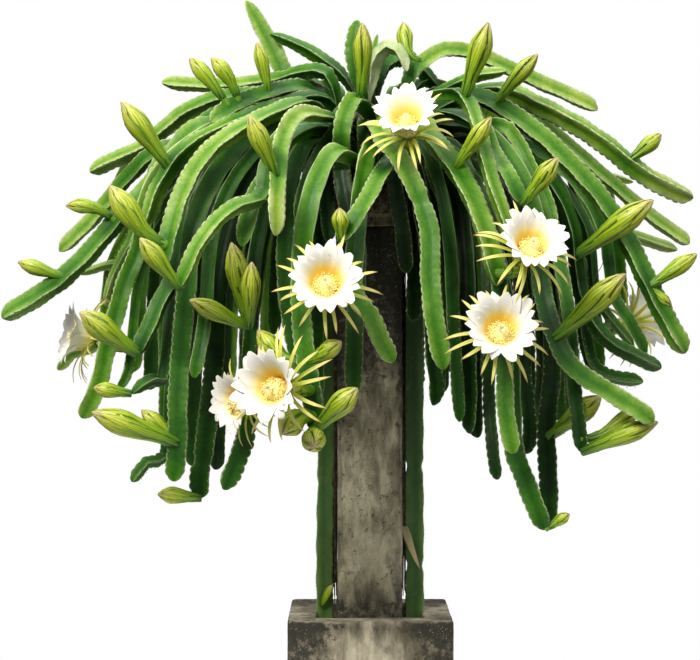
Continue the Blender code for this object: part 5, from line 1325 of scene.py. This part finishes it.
def blade(foot, middle, tip, width, normal, thickness, rows, finish, form, cup=0.0):
    """A narrow leaf from foot to tip through a middle point, folded along its centre."""
    shares = np.linspace(0.0, 1.0, rows)
    a, b, c = (np.array(p, dtype=float) for p in (foot, middle, tip))
    line = ((1 - shares) ** 2)[:, None] * a + (2 * shares * (1 - shares))[:, None] * b + (shares ** 2)[:, None] * c
    ahead = np.gradient(line, axis=0)
    side = np.cross(ahead, np.array(normal, dtype=float))
    side /= np.linalg.norm(side, axis=1)[:, None]
    up = np.cross(side, ahead)
    up /= np.linalg.norm(up, axis=1)[:, None]
    half = (0.5 * width * np.interp(shares, *form))[:, None]
    spread = np.array(BLADE_SPREAD)
    skin = np.array((0.0, 1.0, 1.0, 1.0, 0.0, -1.0, -1.0, -1.0, 0.0))
    lift = cup * np.abs(spread) ** 1.6 * half + 0.5 * thickness * skin
    points = line[:, None, :] + (spread * half)[:, :, None] * side[:, None, :] + lift[:, :, None] * up[:, None, :]
    return drawn_over(points, marked(0.5 + 0.5 * spread, shares[:, None], 0.0, 1.0), finish)


def wrapped_blade(rings, reach, turn, half, thickness, finish, along, spread=BLADE_SPREAD, tilt=0.0, ridge=0.0,
                  shade=0.0):
    """A scale or petal that lies round an axis. Each row has its reach from the axis and its half width."""
    spread = np.array(spread)
    across = len(spread) // 2 + 1
    skin = np.concatenate((np.ones(across), -np.ones(across - 1)))
    skin[[0, across - 1, -1]] = 0.0
    turns = np.asarray(turn)[:, None] + spread * (half / np.maximum(reach, 0.8 * half))[:, None]
    sizes = reach[:, None] + tilt * spread + ridge * (1.0 - np.abs(spread)) + 0.5 * thickness * skin
    points = ring_points(*rings, turns, sizes)
    return drawn_over(points, marked(0.5 + 0.5 * spread, along[:, None], shade, 1.0), finish)


def thread(line, radii, finish, columns=4, along=None):
    """A thin round strand along points: a filament, a spine or an aerial root."""
    line = np.asarray(line, dtype=float)
    centers, _, sides, others = frames(line, arc_length(line), THREAD_REACH)
    points = round_points((centers, sides, others), full_turns(len(line), columns),
                          np.asarray(radii, dtype=float).reshape(-1, 1))
    shares = np.linspace(0.0, 1.0, len(line)) if along is None else along
    return drawn_over(points, marked(np.full(columns + 1, 0.5), shares[:, None], 0.0, 1.0), finish)


def whorl(strand, start, end, form, settings, draw):
    """A ring of scales round a bud or a tube, between two places along it."""
    count, low, high, room, flare, lift = settings
    shares = np.linspace(0.0, 1.0, SCALE_ROWS)
    bodies = []
    offset = draw.uniform(0.0, 2.0 * math.pi)
    for k in range(count):
        top = high + draw.uniform(-0.03, 0.02)
        run = low + (top - low) * shares
        places = start + (end - start) * run
        centers, tangents, sides, others = frames(strand.line, places)
        beyond = np.maximum(places - strand.length(), 0.0)
        centers = centers + beyond[:, None] * tangents
        belly = 0.5 * strand.width * np.interp(run, *form)
        tips = 0.001 * flare * shares ** 3 * draw.uniform(0.6, 1.3)
        reach = belly + 0.001 * lift * np.sin(math.pi * np.minimum(1.0, 0.15 + shares)) ** 0.5 + tips
        slot = math.pi * np.maximum(belly, 0.004) / count
        half = 2.0 * room * slot * np.interp(shares, *SCALE_FORM)
        turn = offset + 2.0 * math.pi * k / count + 0.35 * shares
        bodies.append(wrapped_blade((centers, sides, others), reach, turn, half, SCALE_THICKNESS, 1,
                                    np.clip(run, 0.0, 1.0), tilt=SCALE_TILT, ridge=SCALE_RIDGE,
                                    shade=green_foot(run)[:, None]))
    return bodies


def green_foot(run):
    """How green a bud is along its length: plain green at its foot, its own yellow-green from a fifth up."""
    return np.clip(0.75 - 3.5 * run, 0.0, 0.75)


def grown_bud(strand, draw):
    """A flower bud: a spindle on a short neck, wrapped in whorls of keeled scales."""
    total, start = strand.length(), 0.4 * strand.hidden
    shares = np.array((0.0, 0.06, 0.12, 0.2, 0.3, 0.4, 0.5, 0.58, 0.66, 0.74, 0.82, 0.9, 0.96, 1.0))
    centers, _, sides, others = frames(strand.line, start + (total - start) * shares)
    turns = full_turns(len(shares), 20)
    belly = 0.5 * strand.width * np.interp(shares, *BUD_FORM) * 0.94
    points = round_points((centers, sides, others), turns, belly[:, None])
    core = marked(0.5 + 0.5 * np.cos(turns * 5.0), shares[:, None], green_foot(shares)[:, None], 1.0)
    bodies = [drawn_over(points, core, 1)]
    if start > 0.0:
        neck = frames(strand.line, np.linspace(0.0, start + 0.01, 4))[0]
        bodies.append(thread(neck, 0.5 * strand.width * NECK_SHARE, 1, 10, np.zeros(4)))
    for settings in BUD_WHORLS:
        bodies += whorl(strand, start, total, BUD_FORM, settings, draw)
    return bodies


def grown_tube(strand, draw):
    """The green tube behind a bloom, with its scales."""
    total = strand.length()
    shares = np.linspace(0.0, 1.0, 12)
    centers, _, sides, others = frames(strand.line, shares * total)
    turns = full_turns(len(shares), 16)
    grooves = np.cos(turns * 8.0)
    sizes = strand.radius(shares * total)[:, None] * (1.0 + 0.04 * grooves)
    points = round_points((centers, sides, others), turns, sizes)
    bodies = [drawn_over(points, marked(0.5 + 0.5 * grooves, 0.1 + 0.3 * shares[:, None], 0.35, 1.0), 1)]
    for settings in TUBE_WHORLS:
        bodies += whorl(strand, 0.25 * total, total, TUBE_FLARE, settings, draw)
    return bodies


class Bloom:
    """An open flower: its foot, its axis and how it is sized."""

    def __init__(self, number, flower):
        self.name = f"flower_{number}"
        self.drawn_up, self.drawn_in, self.notch, nod = BOWL_DRAWN[number - 1]
        turned = Matrix.Rotation(nod, 3, "X")
        self.side, self.other, self.axis = (np.array(turned @ v) for v in flower_axes(flower[2]))
        self.foot = flower_foot(flower)
        self.size = flower[3]
        self.draw = random.Random(BLOOM_SEED + number)
        down = np.array((0.0, 0.0, -1.0))
        self.lean = down - self.axis * float(down @ self.axis)

    def around(self, turn):
        return math.cos(turn) * self.side + math.sin(turn) * self.other

    def at(self, height, reach, turn):
        return self.foot + self.size * (height * self.axis + reach * self.around(turn))

    def bowl(self, run):
        """The height and the reach of the bowl at places along a petal."""
        return (np.interp(run, BOWL_PLACES, BOWL_HEIGHT) * self.drawn_up,
                np.interp(run, BOWL_PLACES, BOWL_REACH) * self.drawn_in)


def bloom_tepals(bloom, flesh):
    """The narrow outer tepals, spread behind the petals and bent back."""
    bodies = []
    for k in range(TEPAL_COUNT):
        turn = 2.0 * math.pi * (k + bloom.draw.uniform(-TEPAL_SCATTER, TEPAL_SCATTER)) / TEPAL_COUNT
        reach = bloom.draw.uniform(*TEPAL_REACH) * bloom.drawn_in
        drop = bloom.draw.uniform(*TEPAL_DROP) + 0.08 * (bloom.drawn_up - 1.0)
        swerve = bloom.draw.uniform(-TEPAL_SWERVE, TEPAL_SWERVE)
        back = bloom.at(TEPAL_BACK[0] + 0.3 * drop, TEPAL_BACK[1], turn)
        bodies.append(blade(bloom.at(*TEPAL_FOOT, turn), back, bloom.at(TEPAL_TIP + drop, reach, turn + swerve),
                            TEPAL_WIDTH * bloom.size, bloom.axis, TEPAL_THICKNESS, rows=10, finish=0,
                            form=TEPAL_FORM, cup=0.45))
    add_piece(bloom.name + "_outer_tepals", bodies, [flesh], [bloom.name + "_tepals"])


def petal_cup(bloom):
    """The inner petals, lapped into one smooth bowl whose rim runs out in pointed tips."""
    column = np.arange(PETALS * CUP_COLUMNS + 1)
    part = (column % CUP_COLUMNS) / CUP_COLUMNS
    off_middle = np.abs(2.0 * part - 1.0)
    petal = column // CUP_COLUMNS % PETALS
    reaching, curl, swerve = (np.array([bloom.draw.uniform(low, high) for _ in range(PETALS)])[petal]
                              for low, high in (CUP_REACHING, CUP_CURL, CUP_SWERVE))
    cut = bloom.notch * (RIM_CUT[0] * off_middle + RIM_CUT[1] * off_middle ** RIM_CUT[2])
    length = (1.0 - cut) * (1.0 + (reaching - 1.0) * (1.0 - off_middle))
    inside = np.concatenate((np.linspace(0.0, 0.8, 11), (0.87, 0.93, 0.97, 1.0)))
    shares = np.concatenate((inside, inside[::-1]))[:, None]
    skin = np.repeat((-0.5, 0.5), len(inside))[:, None] * PETAL_THICKNESS
    run = shares * length
    height, reach = bloom.bowl(run)
    reach = reach - CUP_INSET + skin
    reach = reach + CUP_BULGE * (1.0 - off_middle ** 2) * np.minimum(1.0, 2.0 * shares)
    reach = reach + curl * (1.0 - off_middle) * shares ** 4
    turns = column * 2.0 * math.pi / column[-1] + swerve * (1.0 - off_middle) * shares ** 3
    away = np.cos(turns)[..., None] * bloom.side + np.sin(turns)[..., None] * bloom.other
    points = bloom.foot + bloom.size * (height[:, :, None] * bloom.axis + reach[:, :, None] * away)
    points[:, -1] = points[:, 0]
    return drawn_over(points, marked(part, np.where(skin > 0.0, OUTER_PALE + (1.0 - OUTER_PALE) * run, run), 0.0, 1.0))


def bloom_petals(bloom, flesh):
    """The white petals: a bowl of them, and a ring of broad pointed ones that show between its tips."""
    shares = np.array((0.0, 0.08, 0.18, 0.30, 0.42, 0.54, 0.66, 0.76, 0.84, 0.90, 0.95, 0.98, 1.0))
    bodies = [petal_cup(bloom)]
    for k in range(PETALS):
        turn = 2.0 * math.pi * (k + bloom.draw.uniform(-RING_SCATTER, RING_SCATTER)) / PETALS
        run = shares * bloom.draw.uniform(*RING_REACHING)
        height, reach = bloom.bowl(run)
        dropped = rising(shares, RING_DROP_FROM, 1.0 - RING_DROP_FROM)
        height = height - bloom.draw.uniform(*RING_DROP) * dropped ** 2
        half = np.interp(shares, BOWL_PLACES, PETAL_HALF) * bloom.draw.uniform(*RING_WIDENING)
        centers = bloom.foot + bloom.size * height[:, None] * bloom.axis
        rings = (centers, np.tile(bloom.side, (len(run), 1)), np.tile(bloom.other, (len(run), 1)))
        curl = bloom.draw.uniform(-RING_SWERVE, RING_SWERVE) * shares ** 2
        bodies.append(wrapped_blade(rings, bloom.size * reach, turn + curl, bloom.size * half, PETAL_THICKNESS, 0,
                                    OUTER_PALE + (1.0 - OUTER_PALE) * run, PETAL_SPREAD, tilt=PETAL_TILT))
    add_piece(bloom.name + "_petals", bodies, [flesh], [bloom.name + "_corolla"])


def bloom_stamens(bloom, filament, anther, stigma):
    """Stamens in a ring in the throat, sunk to its lower side, round the style with its star of lobes."""
    bodies = []
    for k in range(STAMEN_COUNT):
        turn = k * GOLDEN_TURN
        root = bloom.at(bloom.draw.uniform(*FILAMENT_FEET), 0.013 + 0.006 * bloom.draw.random(), turn)
        ring = ANTHER_RING[0] + ANTHER_RING[1] * math.sqrt((k + 0.5) / STAMEN_COUNT)
        head = bloom.at(bloom.draw.uniform(*ANTHER_HEIGHTS), ring, turn) + bloom.lean * ANTHER_SAG * bloom.size
        knee = 0.5 * (root + head) + bloom.lean * 0.003 + 0.004 * bloom.around(turn)
        shares = np.linspace(0.0, 1.0, 5)[:, None]
        line = (1 - shares) ** 2 * root + 2 * shares * (1 - shares) * knee + shares ** 2 * head
        bodies.append(thread(line, FILAMENT_RADIUS, 0))
        way = (head - knee) / np.linalg.norm(head - knee)
        lean = bloom.around(turn + bloom.draw.uniform(0.0, 6.0)) * 0.0012
        ends = head - way * ANTHER_BACK - lean, head + way * ANTHER_AHEAD + lean
        bodies.append(thread([ends[0], head, ends[1]], ANTHER_RADII, 1, 5))
    spots = [[bloom.at(height, reach, turn) + bloom.lean * 0.010 * bloom.size * height / BED_HEIGHTS[-1]
              for turn in np.arange(17) * math.pi / 8.0] for height, reach in zip(BED_HEIGHTS, BED_REACHES)]
    bodies.append(drawn_over(np.array(spots), marked(np.full((len(spots), 17), 0.5), 0.8, 0.0, 1.0), 0))
    tip = bloom.at(0.066, 0.0, 0.0) + bloom.lean * 0.006
    bodies.append(thread([bloom.at(0.004, 0.0, 0.0), bloom.at(0.036, 0.0, 0.0) + bloom.lean * 0.003, tip],
                         STYLE_RADII, 2, 8))
    for k in range(STIGMA_LOBES):
        out = bloom.around(2.0 * math.pi * k / STIGMA_LOBES)
        rise = 0.010 if k % 2 else 0.006
        bodies.append(thread([tip - bloom.axis * 0.001, tip + bloom.axis * (rise * 0.7) + out * 0.006,
                              tip + bloom.axis * rise + out * (0.014 - 0.5 * rise)], LOBE_RADII, 2, 5))
    add_piece(bloom.name + "_stamen_ring", bodies, [filament, anther, stigma], [bloom.name + "_stamens"])


def square_rows(profile, spacing, corner):
    """Rows of points round a rounded square section: each row has a half width and a height."""
    widest = max(half for half, _ in profile)
    per_side = max(4, int(round(2.0 * widest / spacing)))
    headings, slides = [], []
    for quarter in range(4):
        headings += [quarter * math.pi / 2.0] * per_side
        slides += list(np.linspace(-1.0, 1.0, per_side, endpoint=False))
    headings, slides = np.array(headings + [0.0]), np.array(slides + [-1.0])
    rows = []
    for half, height in profile:
        rounding = min(corner, 0.9 * half)
        inner = half - rounding
        slide = slides * half
        over = np.clip(np.abs(slide) - inner, 0.0, 0.7071 * rounding)
        slide = np.sign(slide) * np.minimum(np.abs(slide), inner + 0.7071 * rounding)
        pull = rounding - np.sqrt(rounding ** 2 - over ** 2)
        x, y = half - pull, slide
        rows.append(np.column_stack((x * np.cos(headings) - y * np.sin(headings),
                                     x * np.sin(headings) + y * np.cos(headings), np.full(len(x), height))))
    return np.array(rows)


def roughened(points, amount, seed):
    """Moves the points of a cast surface in and out a little, as worn concrete is."""
    shift = Vector((seed, 2.0 * seed, 3.0 * seed))
    moved = points.copy()
    for index in np.ndindex(points.shape[:2]):
        place = Vector(points[index])
        moved[index] += amount * np.array(noise.noise_vector(place * 9.0 + shift) * 0.8
                                          + noise.noise_vector(place * 55.0 + shift) * 0.5)
    moved[:, -1] = moved[:, 0]
    return moved


def steps(low, high, step):
    return list(np.linspace(low, high, max(2, int(round(abs(high - low) / step)) + 1)))


def near_edge(points, half, band):
    """1 on the upright corners of a square of that half width, fading to 0 a band away."""
    least = np.minimum(np.abs(points[..., 0]), np.abs(points[..., 1]))
    return np.clip(1.0 - (half - least) / band, 0.0, 1.0)


def cast_piece(name, profile, weather, finish, spacing, amount, seed):
    """A cast concrete piece drawn over square rows, with marks of where it is damp and where it is worn."""
    points = roughened(square_rows(profile, spacing, CAST_CORNER), amount, seed)
    damp, worn = weather(points)
    add_piece(name + "_cast", [drawn_over(points, marked(damp, worn, 0.0, 1.0))], [finish], [name])


def add_planter_look(finish):
    half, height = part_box("planter")[1].xz
    inner = half - PLANTER_WALL
    profile = [(0.5 * half, 0.0), (half - 0.004, 0.0)]
    profile += [(half, z) for z in steps(0.004, height - 0.005, 0.010)]
    profile += [(half - 0.0015, height - 0.0015)]
    profile += [(h, height) for h in steps(half - 0.005, inner + 0.005, 0.009)]
    profile += [(inner + 0.0015, height - 0.0015)]
    profile += [(inner, z) for z in steps(height - 0.005, PLANTER_FLOOR, 0.02)] + [(0.5 * inner, PLANTER_FLOOR)]

    def weather(points):
        """Dampest near the upright corners and in a band under the rim, which is also painted shadow; the rim's top is
        rubbed bare and painted lighter.
        """
        # A band just under the rim: damp, with painted shadow.
        rim = np.clip(1.0 - np.abs(points[..., 2] - height + 0.012) / 0.035, 0.0, 1.0)
        least = np.minimum(np.abs(points[..., 0]), np.abs(points[..., 1]))
        side = rising(least, 0.05, 0.10)
        foot = np.clip(1.0 - points[..., 2] / 0.08, 0.0, 1.0)
        # The rim's top: rubbed bare, with painted light.
        top = rising(points[..., 2] - height, -0.006, 0.006)
        damp = 0.05 + 0.50 * side + 0.26 * rim * (1.0 - top) + 0.16 * foot
        return damp * (1.0 - 0.25 * top), np.maximum(0.6 * top, near_edge(points, half, 0.010) * 0.7)
    cast_piece("planter", profile, weather, finish, spacing=0.010, amount=0.0016, seed=3.1)


def add_post_look(finish):
    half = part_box("post")[1].x
    bottom, top = PLANTER_FLOOR + GAP, POST_TOP - GAP
    profile = [(half - 0.002, bottom)] + [(half, z) for z in steps(bottom + 0.003, top - 0.003, 0.010)]
    profile += [(half - 0.002, top)]

    def weather(points):
        """Damp at the soil, and darker and darker from the middle up to the crown: damp, with painted shade under the
        crown.
        """
        foot = np.clip((0.375 - points[..., 2]) / 0.06, 0.0, 1.0)
        # From the middle up and under the crown: damp, with painted shade.
        head = rising(points[..., 2], 0.86, 0.32)
        middle = rising(points[..., 2], 0.55, 0.40)
        edge = near_edge(points, half, 0.020)
        return 0.05 + 0.42 * foot + 0.38 * middle + 0.20 * head + 0.16 * edge, edge * (0.7 - 0.5 * head)
    cast_piece("post", profile, weather, finish, spacing=0.010, amount=0.0012, seed=7.7)


def add_cap_look(finish):
    half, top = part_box("cap")[1].xz
    foot, ledge = half - CAP_FOOT_INSET, POST_TOP + CAP_FOOT
    profile = [(foot - 0.002, POST_TOP)] + [(foot, z) for z in steps(POST_TOP + 0.002, ledge, 0.006)]
    profile += [(half - 0.003, ledge + 0.001)]
    profile += [(half, z) for z in steps(ledge + 0.004, top - 0.004, 0.006)]
    profile += [(half - 0.003, top), (0.5 * half, top)]

    def weather(points):
        """Damp all over, most above the ledge."""
        upper = rising(points[..., 2], ledge, 0.03)
        return 0.34 + 0.16 * upper, near_edge(points, half, 0.012) * 0.5
    cast_piece("cap", profile, weather, finish, spacing=0.007, amount=0.0024, seed=5.3)


def add_soil_look(finish):
    """The soil, lumpy on top, round the post's hole. Its first row is also its last, so the skin is a ring."""
    outer, inner = 0.5 * PLANTER_WIDTH - PLANTER_WALL - 0.0008, 0.5 * POST_WIDTH + 0.0012
    bottom, top = PLANTER_FLOOR + 0.001, PLANTER_HEIGHT - SOIL_DROP
    profile = [(inner, bottom), (outer, bottom)] + [(outer, z) for z in steps(bottom + 0.05, top, 0.05)]
    profile += [(h, top) for h in steps(outer - 0.004, inner + 0.004, 0.004)] + [(inner, top - 0.004)]
    points = square_rows(profile, 0.005, 0.004)
    for index in np.ndindex(points.shape[:2]):
        x, y, z = points[index]
        if z > top - 0.001:
            lump = noise.noise(Vector((x, y, 0.0)) * 40.0) * 0.006 + noise.noise(Vector((x, y, 5.0)) * 130.0) * 0.003
            points[index][2] += lump - 0.003
    points = np.concatenate((points, points[:1]))
    points[:, -1] = points[:, 0]
    add_piece("planter_soil", [welded(points, np.zeros((*points.shape[:2], 4)))], [finish], ["soil"])


def crown_knot():
    """The knot of old corky stems on the cap."""
    rows = 22
    heights = np.linspace(0.0, 1.0, rows)
    turns = full_turns(rows, 48)
    shape = np.interp(heights, *KNOT_FORM)
    sizes = shape[:, None] * (1.0 + 0.10 * np.sin(turns * 7.0 + heights[:, None] * 5.0)
                              + 0.06 * np.sin(turns * 13.0 - heights[:, None] * 9.0))
    centers = np.outer(CAP_TOP + 0.001 + heights * (CROWN_TOP - CAP_TOP), (0.0, 0.0, 1.0))
    rings = (centers, np.tile((1.0, 0.0, 0.0), (rows, 1)), np.tile((0.0, 1.0, 0.0), (rows, 1)))
    return drawn_over(round_points(rings, turns, sizes), marked(np.ones_like(turns), 1.0, 0.0, 1.0), 3)


def aerial_roots(strands):
    """Dry aerial roots that hang from the inner runs of the stems, by the limb they grow on."""
    draw = random.Random(ROOT_SEED)
    stems = [strand for strand in strands if strand.kind == "stem" and strand.hidden > 0.12]
    roots = {}
    for _ in range(ROOT_COUNT):
        strand = stems[draw.randrange(len(stems))]
        place = draw.uniform(0.35, 1.1) * strand.hidden
        start = frames(strand.line, np.array((place, place + 0.01)))[0][0]
        point, way = start.copy(), np.array((draw.uniform(-1, 1), draw.uniform(-1, 1), -0.6))
        line = [point.copy()]
        for _ in range(draw.randrange(6, 14)):
            way = 0.72 * way + np.array((draw.uniform(-0.5, 0.5), draw.uniform(-0.5, 0.5), -0.42))
            point = point + 0.016 * way / np.linalg.norm(way)
            line.append(point.copy())
        roots.setdefault(strand.limb, []).append(thread(line, np.linspace(*ROOT_RADII, len(line)), 3))
    return roots


def clasping_roots(strand, draw):
    """Dry roots that run down between a climbing stem and the post, dark, and also standing in for the shade in that
    gap.
    """
    middle = strand.line[len(strand.line) // 2]
    out = np.zeros(3)
    out[np.argmax(np.abs(middle[:2]))] = np.sign(middle[np.argmax(np.abs(middle[:2]))])
    across = np.cross(out, (0.0, 0.0, 1.0))
    bodies = []
    for _ in range(CLASPING_COUNT):
        away, sideways = 0.5 * POST_WIDTH + draw.uniform(0.0006, 0.0120), draw.uniform(-0.024, 0.020)
        line = []
        for height in np.arange(draw.uniform(1.0, 1.22), draw.uniform(PLANTER_HEIGHT - 0.02, 0.45), -0.03):
            sideways = min(max(sideways + draw.uniform(-0.004, 0.004), -0.025), 0.025)
            line.append(out * (away + draw.uniform(-0.0006, 0.0006)) + across * sideways + (0.0, 0.0, height))
        bodies.append(thread(line, np.linspace(*CLASPING_RADII, len(line)), 3))
    return bodies


def climber_details():
    """A flap of dry skin at a joint of the right climbing stem, and a young shoot low on the left one."""
    flap = blade((0.087, -0.020, 0.510), (0.094, -0.046, 0.480), (0.124, -0.034, 0.407), 0.022, (0.0, -1.0, 0.0),
                 0.0014, 12, 2, FLAP_FORM, 0.35)
    shoot = blade((-0.119, -0.028, 0.312), (-0.110, -0.040, 0.340), (-0.092, -0.034, 0.368), 0.021, (0.0, -1.0, 0.0),
                  0.005, 12, 1, SHOOT_FORM, 0.2)
    return flap, shoot


def inner_stems():
    """The old stems deep inside the plant, and the one behind the arching stem of the crown."""
    behind = Strand("stem", "crown", spline(BEHIND_ARCH[1], LINE_STEP), BEHIND_ARCH[0])
    behind.age, behind.cork = 0.30, 0.5
    strands = [behind]
    for rank, (limb, width, across, top, tip, depth) in enumerate(INNER_STEMS):
        seen = [placed(across - 0.04 * across * share, up, depth) for share, up in
                ((1.0, top), (0.3, 0.5 * (top + tip)), (0.0, tip))]
        lead = arch(root_of(limb, rank, len(INNER_STEMS)), limb_heading(limb), seen[0])
        strand = Strand("stem", limb, spline(lead + seen, LINE_STEP), width / 1000.0)
        strand.hidden = arc_length(spline(lead + seen[:1], 0.01))[-1]
        strand.laid = False
        strand.age, strand.cork = 0.12, 0.4
        strand.twist = 0.3 - 0.1 * rank
        strands.append(strand)
    return strands


def grow_up(strands, draw):
    """Gives the stems, buds and tubes their age, twist, cork, scallops and tips."""
    for strand in strands:
        climbing = strand.kind == "climber"
        strand.age = draw.uniform(-0.10, 0.12)
        strand.youth = draw.uniform(0.0, 0.22)
        strand.twist = draw.uniform(-0.5, 0.5)
        strand.cork = CLIMBER_CORK if climbing else draw.uniform(0.30, 0.60)
        strand.scallop = 0.35 if climbing else draw.uniform(0.8, 1.2)
        strand.taper = draw.uniform(*TIP_TAPERS)
        strand.joints = [(place, share ** 0.35) for place, share in strand.joints]
        if climbing:
            strand.age -= 0.30
    crown = [strand for strand in strands if strand.limb == "crown"]
    next(strand for strand in crown if strand.width == BLEACHED_WIDTH).cork = -1.0
    for strand in crown:
        strand.age += 0.14
        strand.youth *= 0.5
        strand.width = CROWN_GROWTH.get(strand.width, strand.width)


def add_limb_look(limb, strands, extras, finishes, draw):
    """One limb's stems with their areoles, buds, flower tubes and aerial roots."""
    bodies = list(extras)
    for strand in strands:
        if strand.kind == "bud":
            bodies += grown_bud(strand, draw)
        elif strand.kind == "tube":
            bodies += grown_tube(strand, draw)
        else:
            bodies += [grown_stem(strand), areoles(strand)]
    if limb == "crown":
        add_piece("crown_stems", bodies + [crown_knot()], finishes, ["crown"])
    else:
        add_piece(limb + "_grown", bodies, finishes, [limb])


def add_blooms():
    """The open flowers, each in three pieces."""
    tepal = petal_flesh("tepal_flesh", ((0.0, "#9db036"), (0.35, "#c6cc50"), (0.75, "#dfdb80"), (1.0, "#cdb070")),
                        "#b4bb48", 0.45, 0.20)
    petal = petal_flesh("petal_flesh", ((0.0, "#f2b410"), (0.24, "#f3c631"), (0.40, "#f3da78"), (0.54, "#f2e9c8"),
                                        (0.68, "#efede4")), "#e6e4d8", 0.55, 0.15)
    filament = petal_flesh("filament_flesh", ((0.0, "#f4cc3c"), (0.6, "#fae27a"), (1.0, "#fdf2b8")), "#f6e080", 0.6,
                           0.3)
    anther = petal_flesh("anther_dust", ((0.0, "#fbe68a"), (1.0, "#fdf0ac")), "#fbe68a", 0.9, 0.3)
    stigma = petal_flesh("stigma_flesh", ((0.0, "#ece3a4"), (1.0, "#f8f3cf")), "#e9e2a0", 0.6, 0.2)
    for number, flower in enumerate(FLOWERS, 1):
        bloom = Bloom(number, flower)
        bloom_tepals(bloom, tepal)
        bloom_petals(bloom, petal)
        bloom_stamens(bloom, filament, anther, stigma)


def add_lamp(name, place, target, size, power, color):
    lamp = bpy.data.lights.new(name, "AREA")
    lamp.shape = "SQUARE"
    lamp.size = size
    lamp.energy = power
    lamp.color = linear(color)[:3]
    made = bpy.data.objects.new(name, lamp)
    bpy.context.scene.collection.objects.link(made)
    made.location = place
    made.rotation_euler = (Vector(target) - Vector(place)).to_track_quat("-Z", "Y").to_euler()


def add_floor():
    bm = bmesh.new()
    bmesh.ops.create_circle(bm, cap_ends=True, segments=96, radius=FLOOR_RADIUS)
    mesh = bpy.data.meshes.new("floor")
    bm.to_mesh(mesh)
    bm.free()
    floor = bpy.data.objects.new("floor", mesh)
    bpy.context.scene.collection.objects.link(floor)
    paint = Finish("pale_matt_floor", roughness=0.9)
    paint.sockets["Base Color"].default_value = linear("#f6f6f4")
    mesh.materials.append(paint.made)


def add_sky():
    """A surrounding that lights the plant most from overhead and that the camera sees as plain white."""
    world = bpy.data.worlds.new("studio")
    world.use_nodes = True
    tree = world.node_tree
    way = add_node(tree, "ShaderNodeTexCoord").outputs["Generated"]
    height = add_node(tree, "ShaderNodeSeparateXYZ", {0: way}).outputs["Z"]
    sky = add_node(tree, "ShaderNodeValToRGB", {0: height}, ((0.0, 0.08), (0.3, 0.22), (0.8, 1.0)))
    glow = add_node(tree, "ShaderNodeBackground", {0: sky, 1: SKY_STRENGTH})
    white = add_node(tree, "ShaderNodeBackground", {0: "#ffffff", 1: 1.0})
    seen = add_node(tree, "ShaderNodeLightPath").outputs["Is Camera Ray"]
    both = add_node(tree, "ShaderNodeMixShader", {0: seen, 1: glow, 2: white})
    tree.links.new(both.outputs[0], tree.nodes["World Output"].inputs["Surface"])
    bpy.context.scene.world = world


def add_camera():
    """The front view's camera, level and far off, as the photo was taken."""
    camera = bpy.data.objects.new("camera", bpy.data.cameras.new("camera"))
    camera.data.lens = LENS
    camera.data.sensor_width = SENSOR_WIDTH
    camera.location = (SIGHT_ACROSS, -SIGHT_RANGE, SIGHT_HEIGHT)
    camera.rotation_euler = (math.pi / 2.0, 0.0, 0.0)
    bpy.context.scene.collection.objects.link(camera)
    bpy.context.scene.camera = camera


def main():
    strands = plant_strands()
    noise.seed_set(GROWTH_SEED)
    draw = random.Random(GROWTH_SEED)
    grow_up(strands, draw)
    strands += inner_stems()
    find_cover(strands)
    roots = aerial_roots(strands)
    for strand in strands:
        if strand.kind == "climber":
            roots.setdefault(strand.limb, []).extend(clasping_roots(strand, draw))
    flap, shoot = climber_details()
    roots["stems_right"].append(flap)
    roots["stems_left"].append(shoot)
    growth = [waxy_stem(), bud_scales(), areole_felt(), old_bark()]
    for limb in (*LIMBS, "crown"):
        add_limb_look(limb, [s for s in strands if s.limb == limb], roots.get(limb, []), growth, draw)
    add_blooms()
    add_planter_look(weathered_concrete("stained_planter_concrete", "#b5ad98", "#857d69", "#352f21"))
    add_post_look(weathered_concrete("stained_post_concrete", "#aaa48a", "#827c63", "#37332a"))
    add_cap_look(weathered_concrete("stained_cap_concrete", "#b8ad8b", "#80765c", "#464026"))
    add_soil_look(crumbly_soil())
    add_floor()
    for lamp in LAMPS:
        add_lamp(*lamp)
    add_sky()
    add_camera()
    bpy.context.scene.view_settings.view_transform = "Standard"


main()
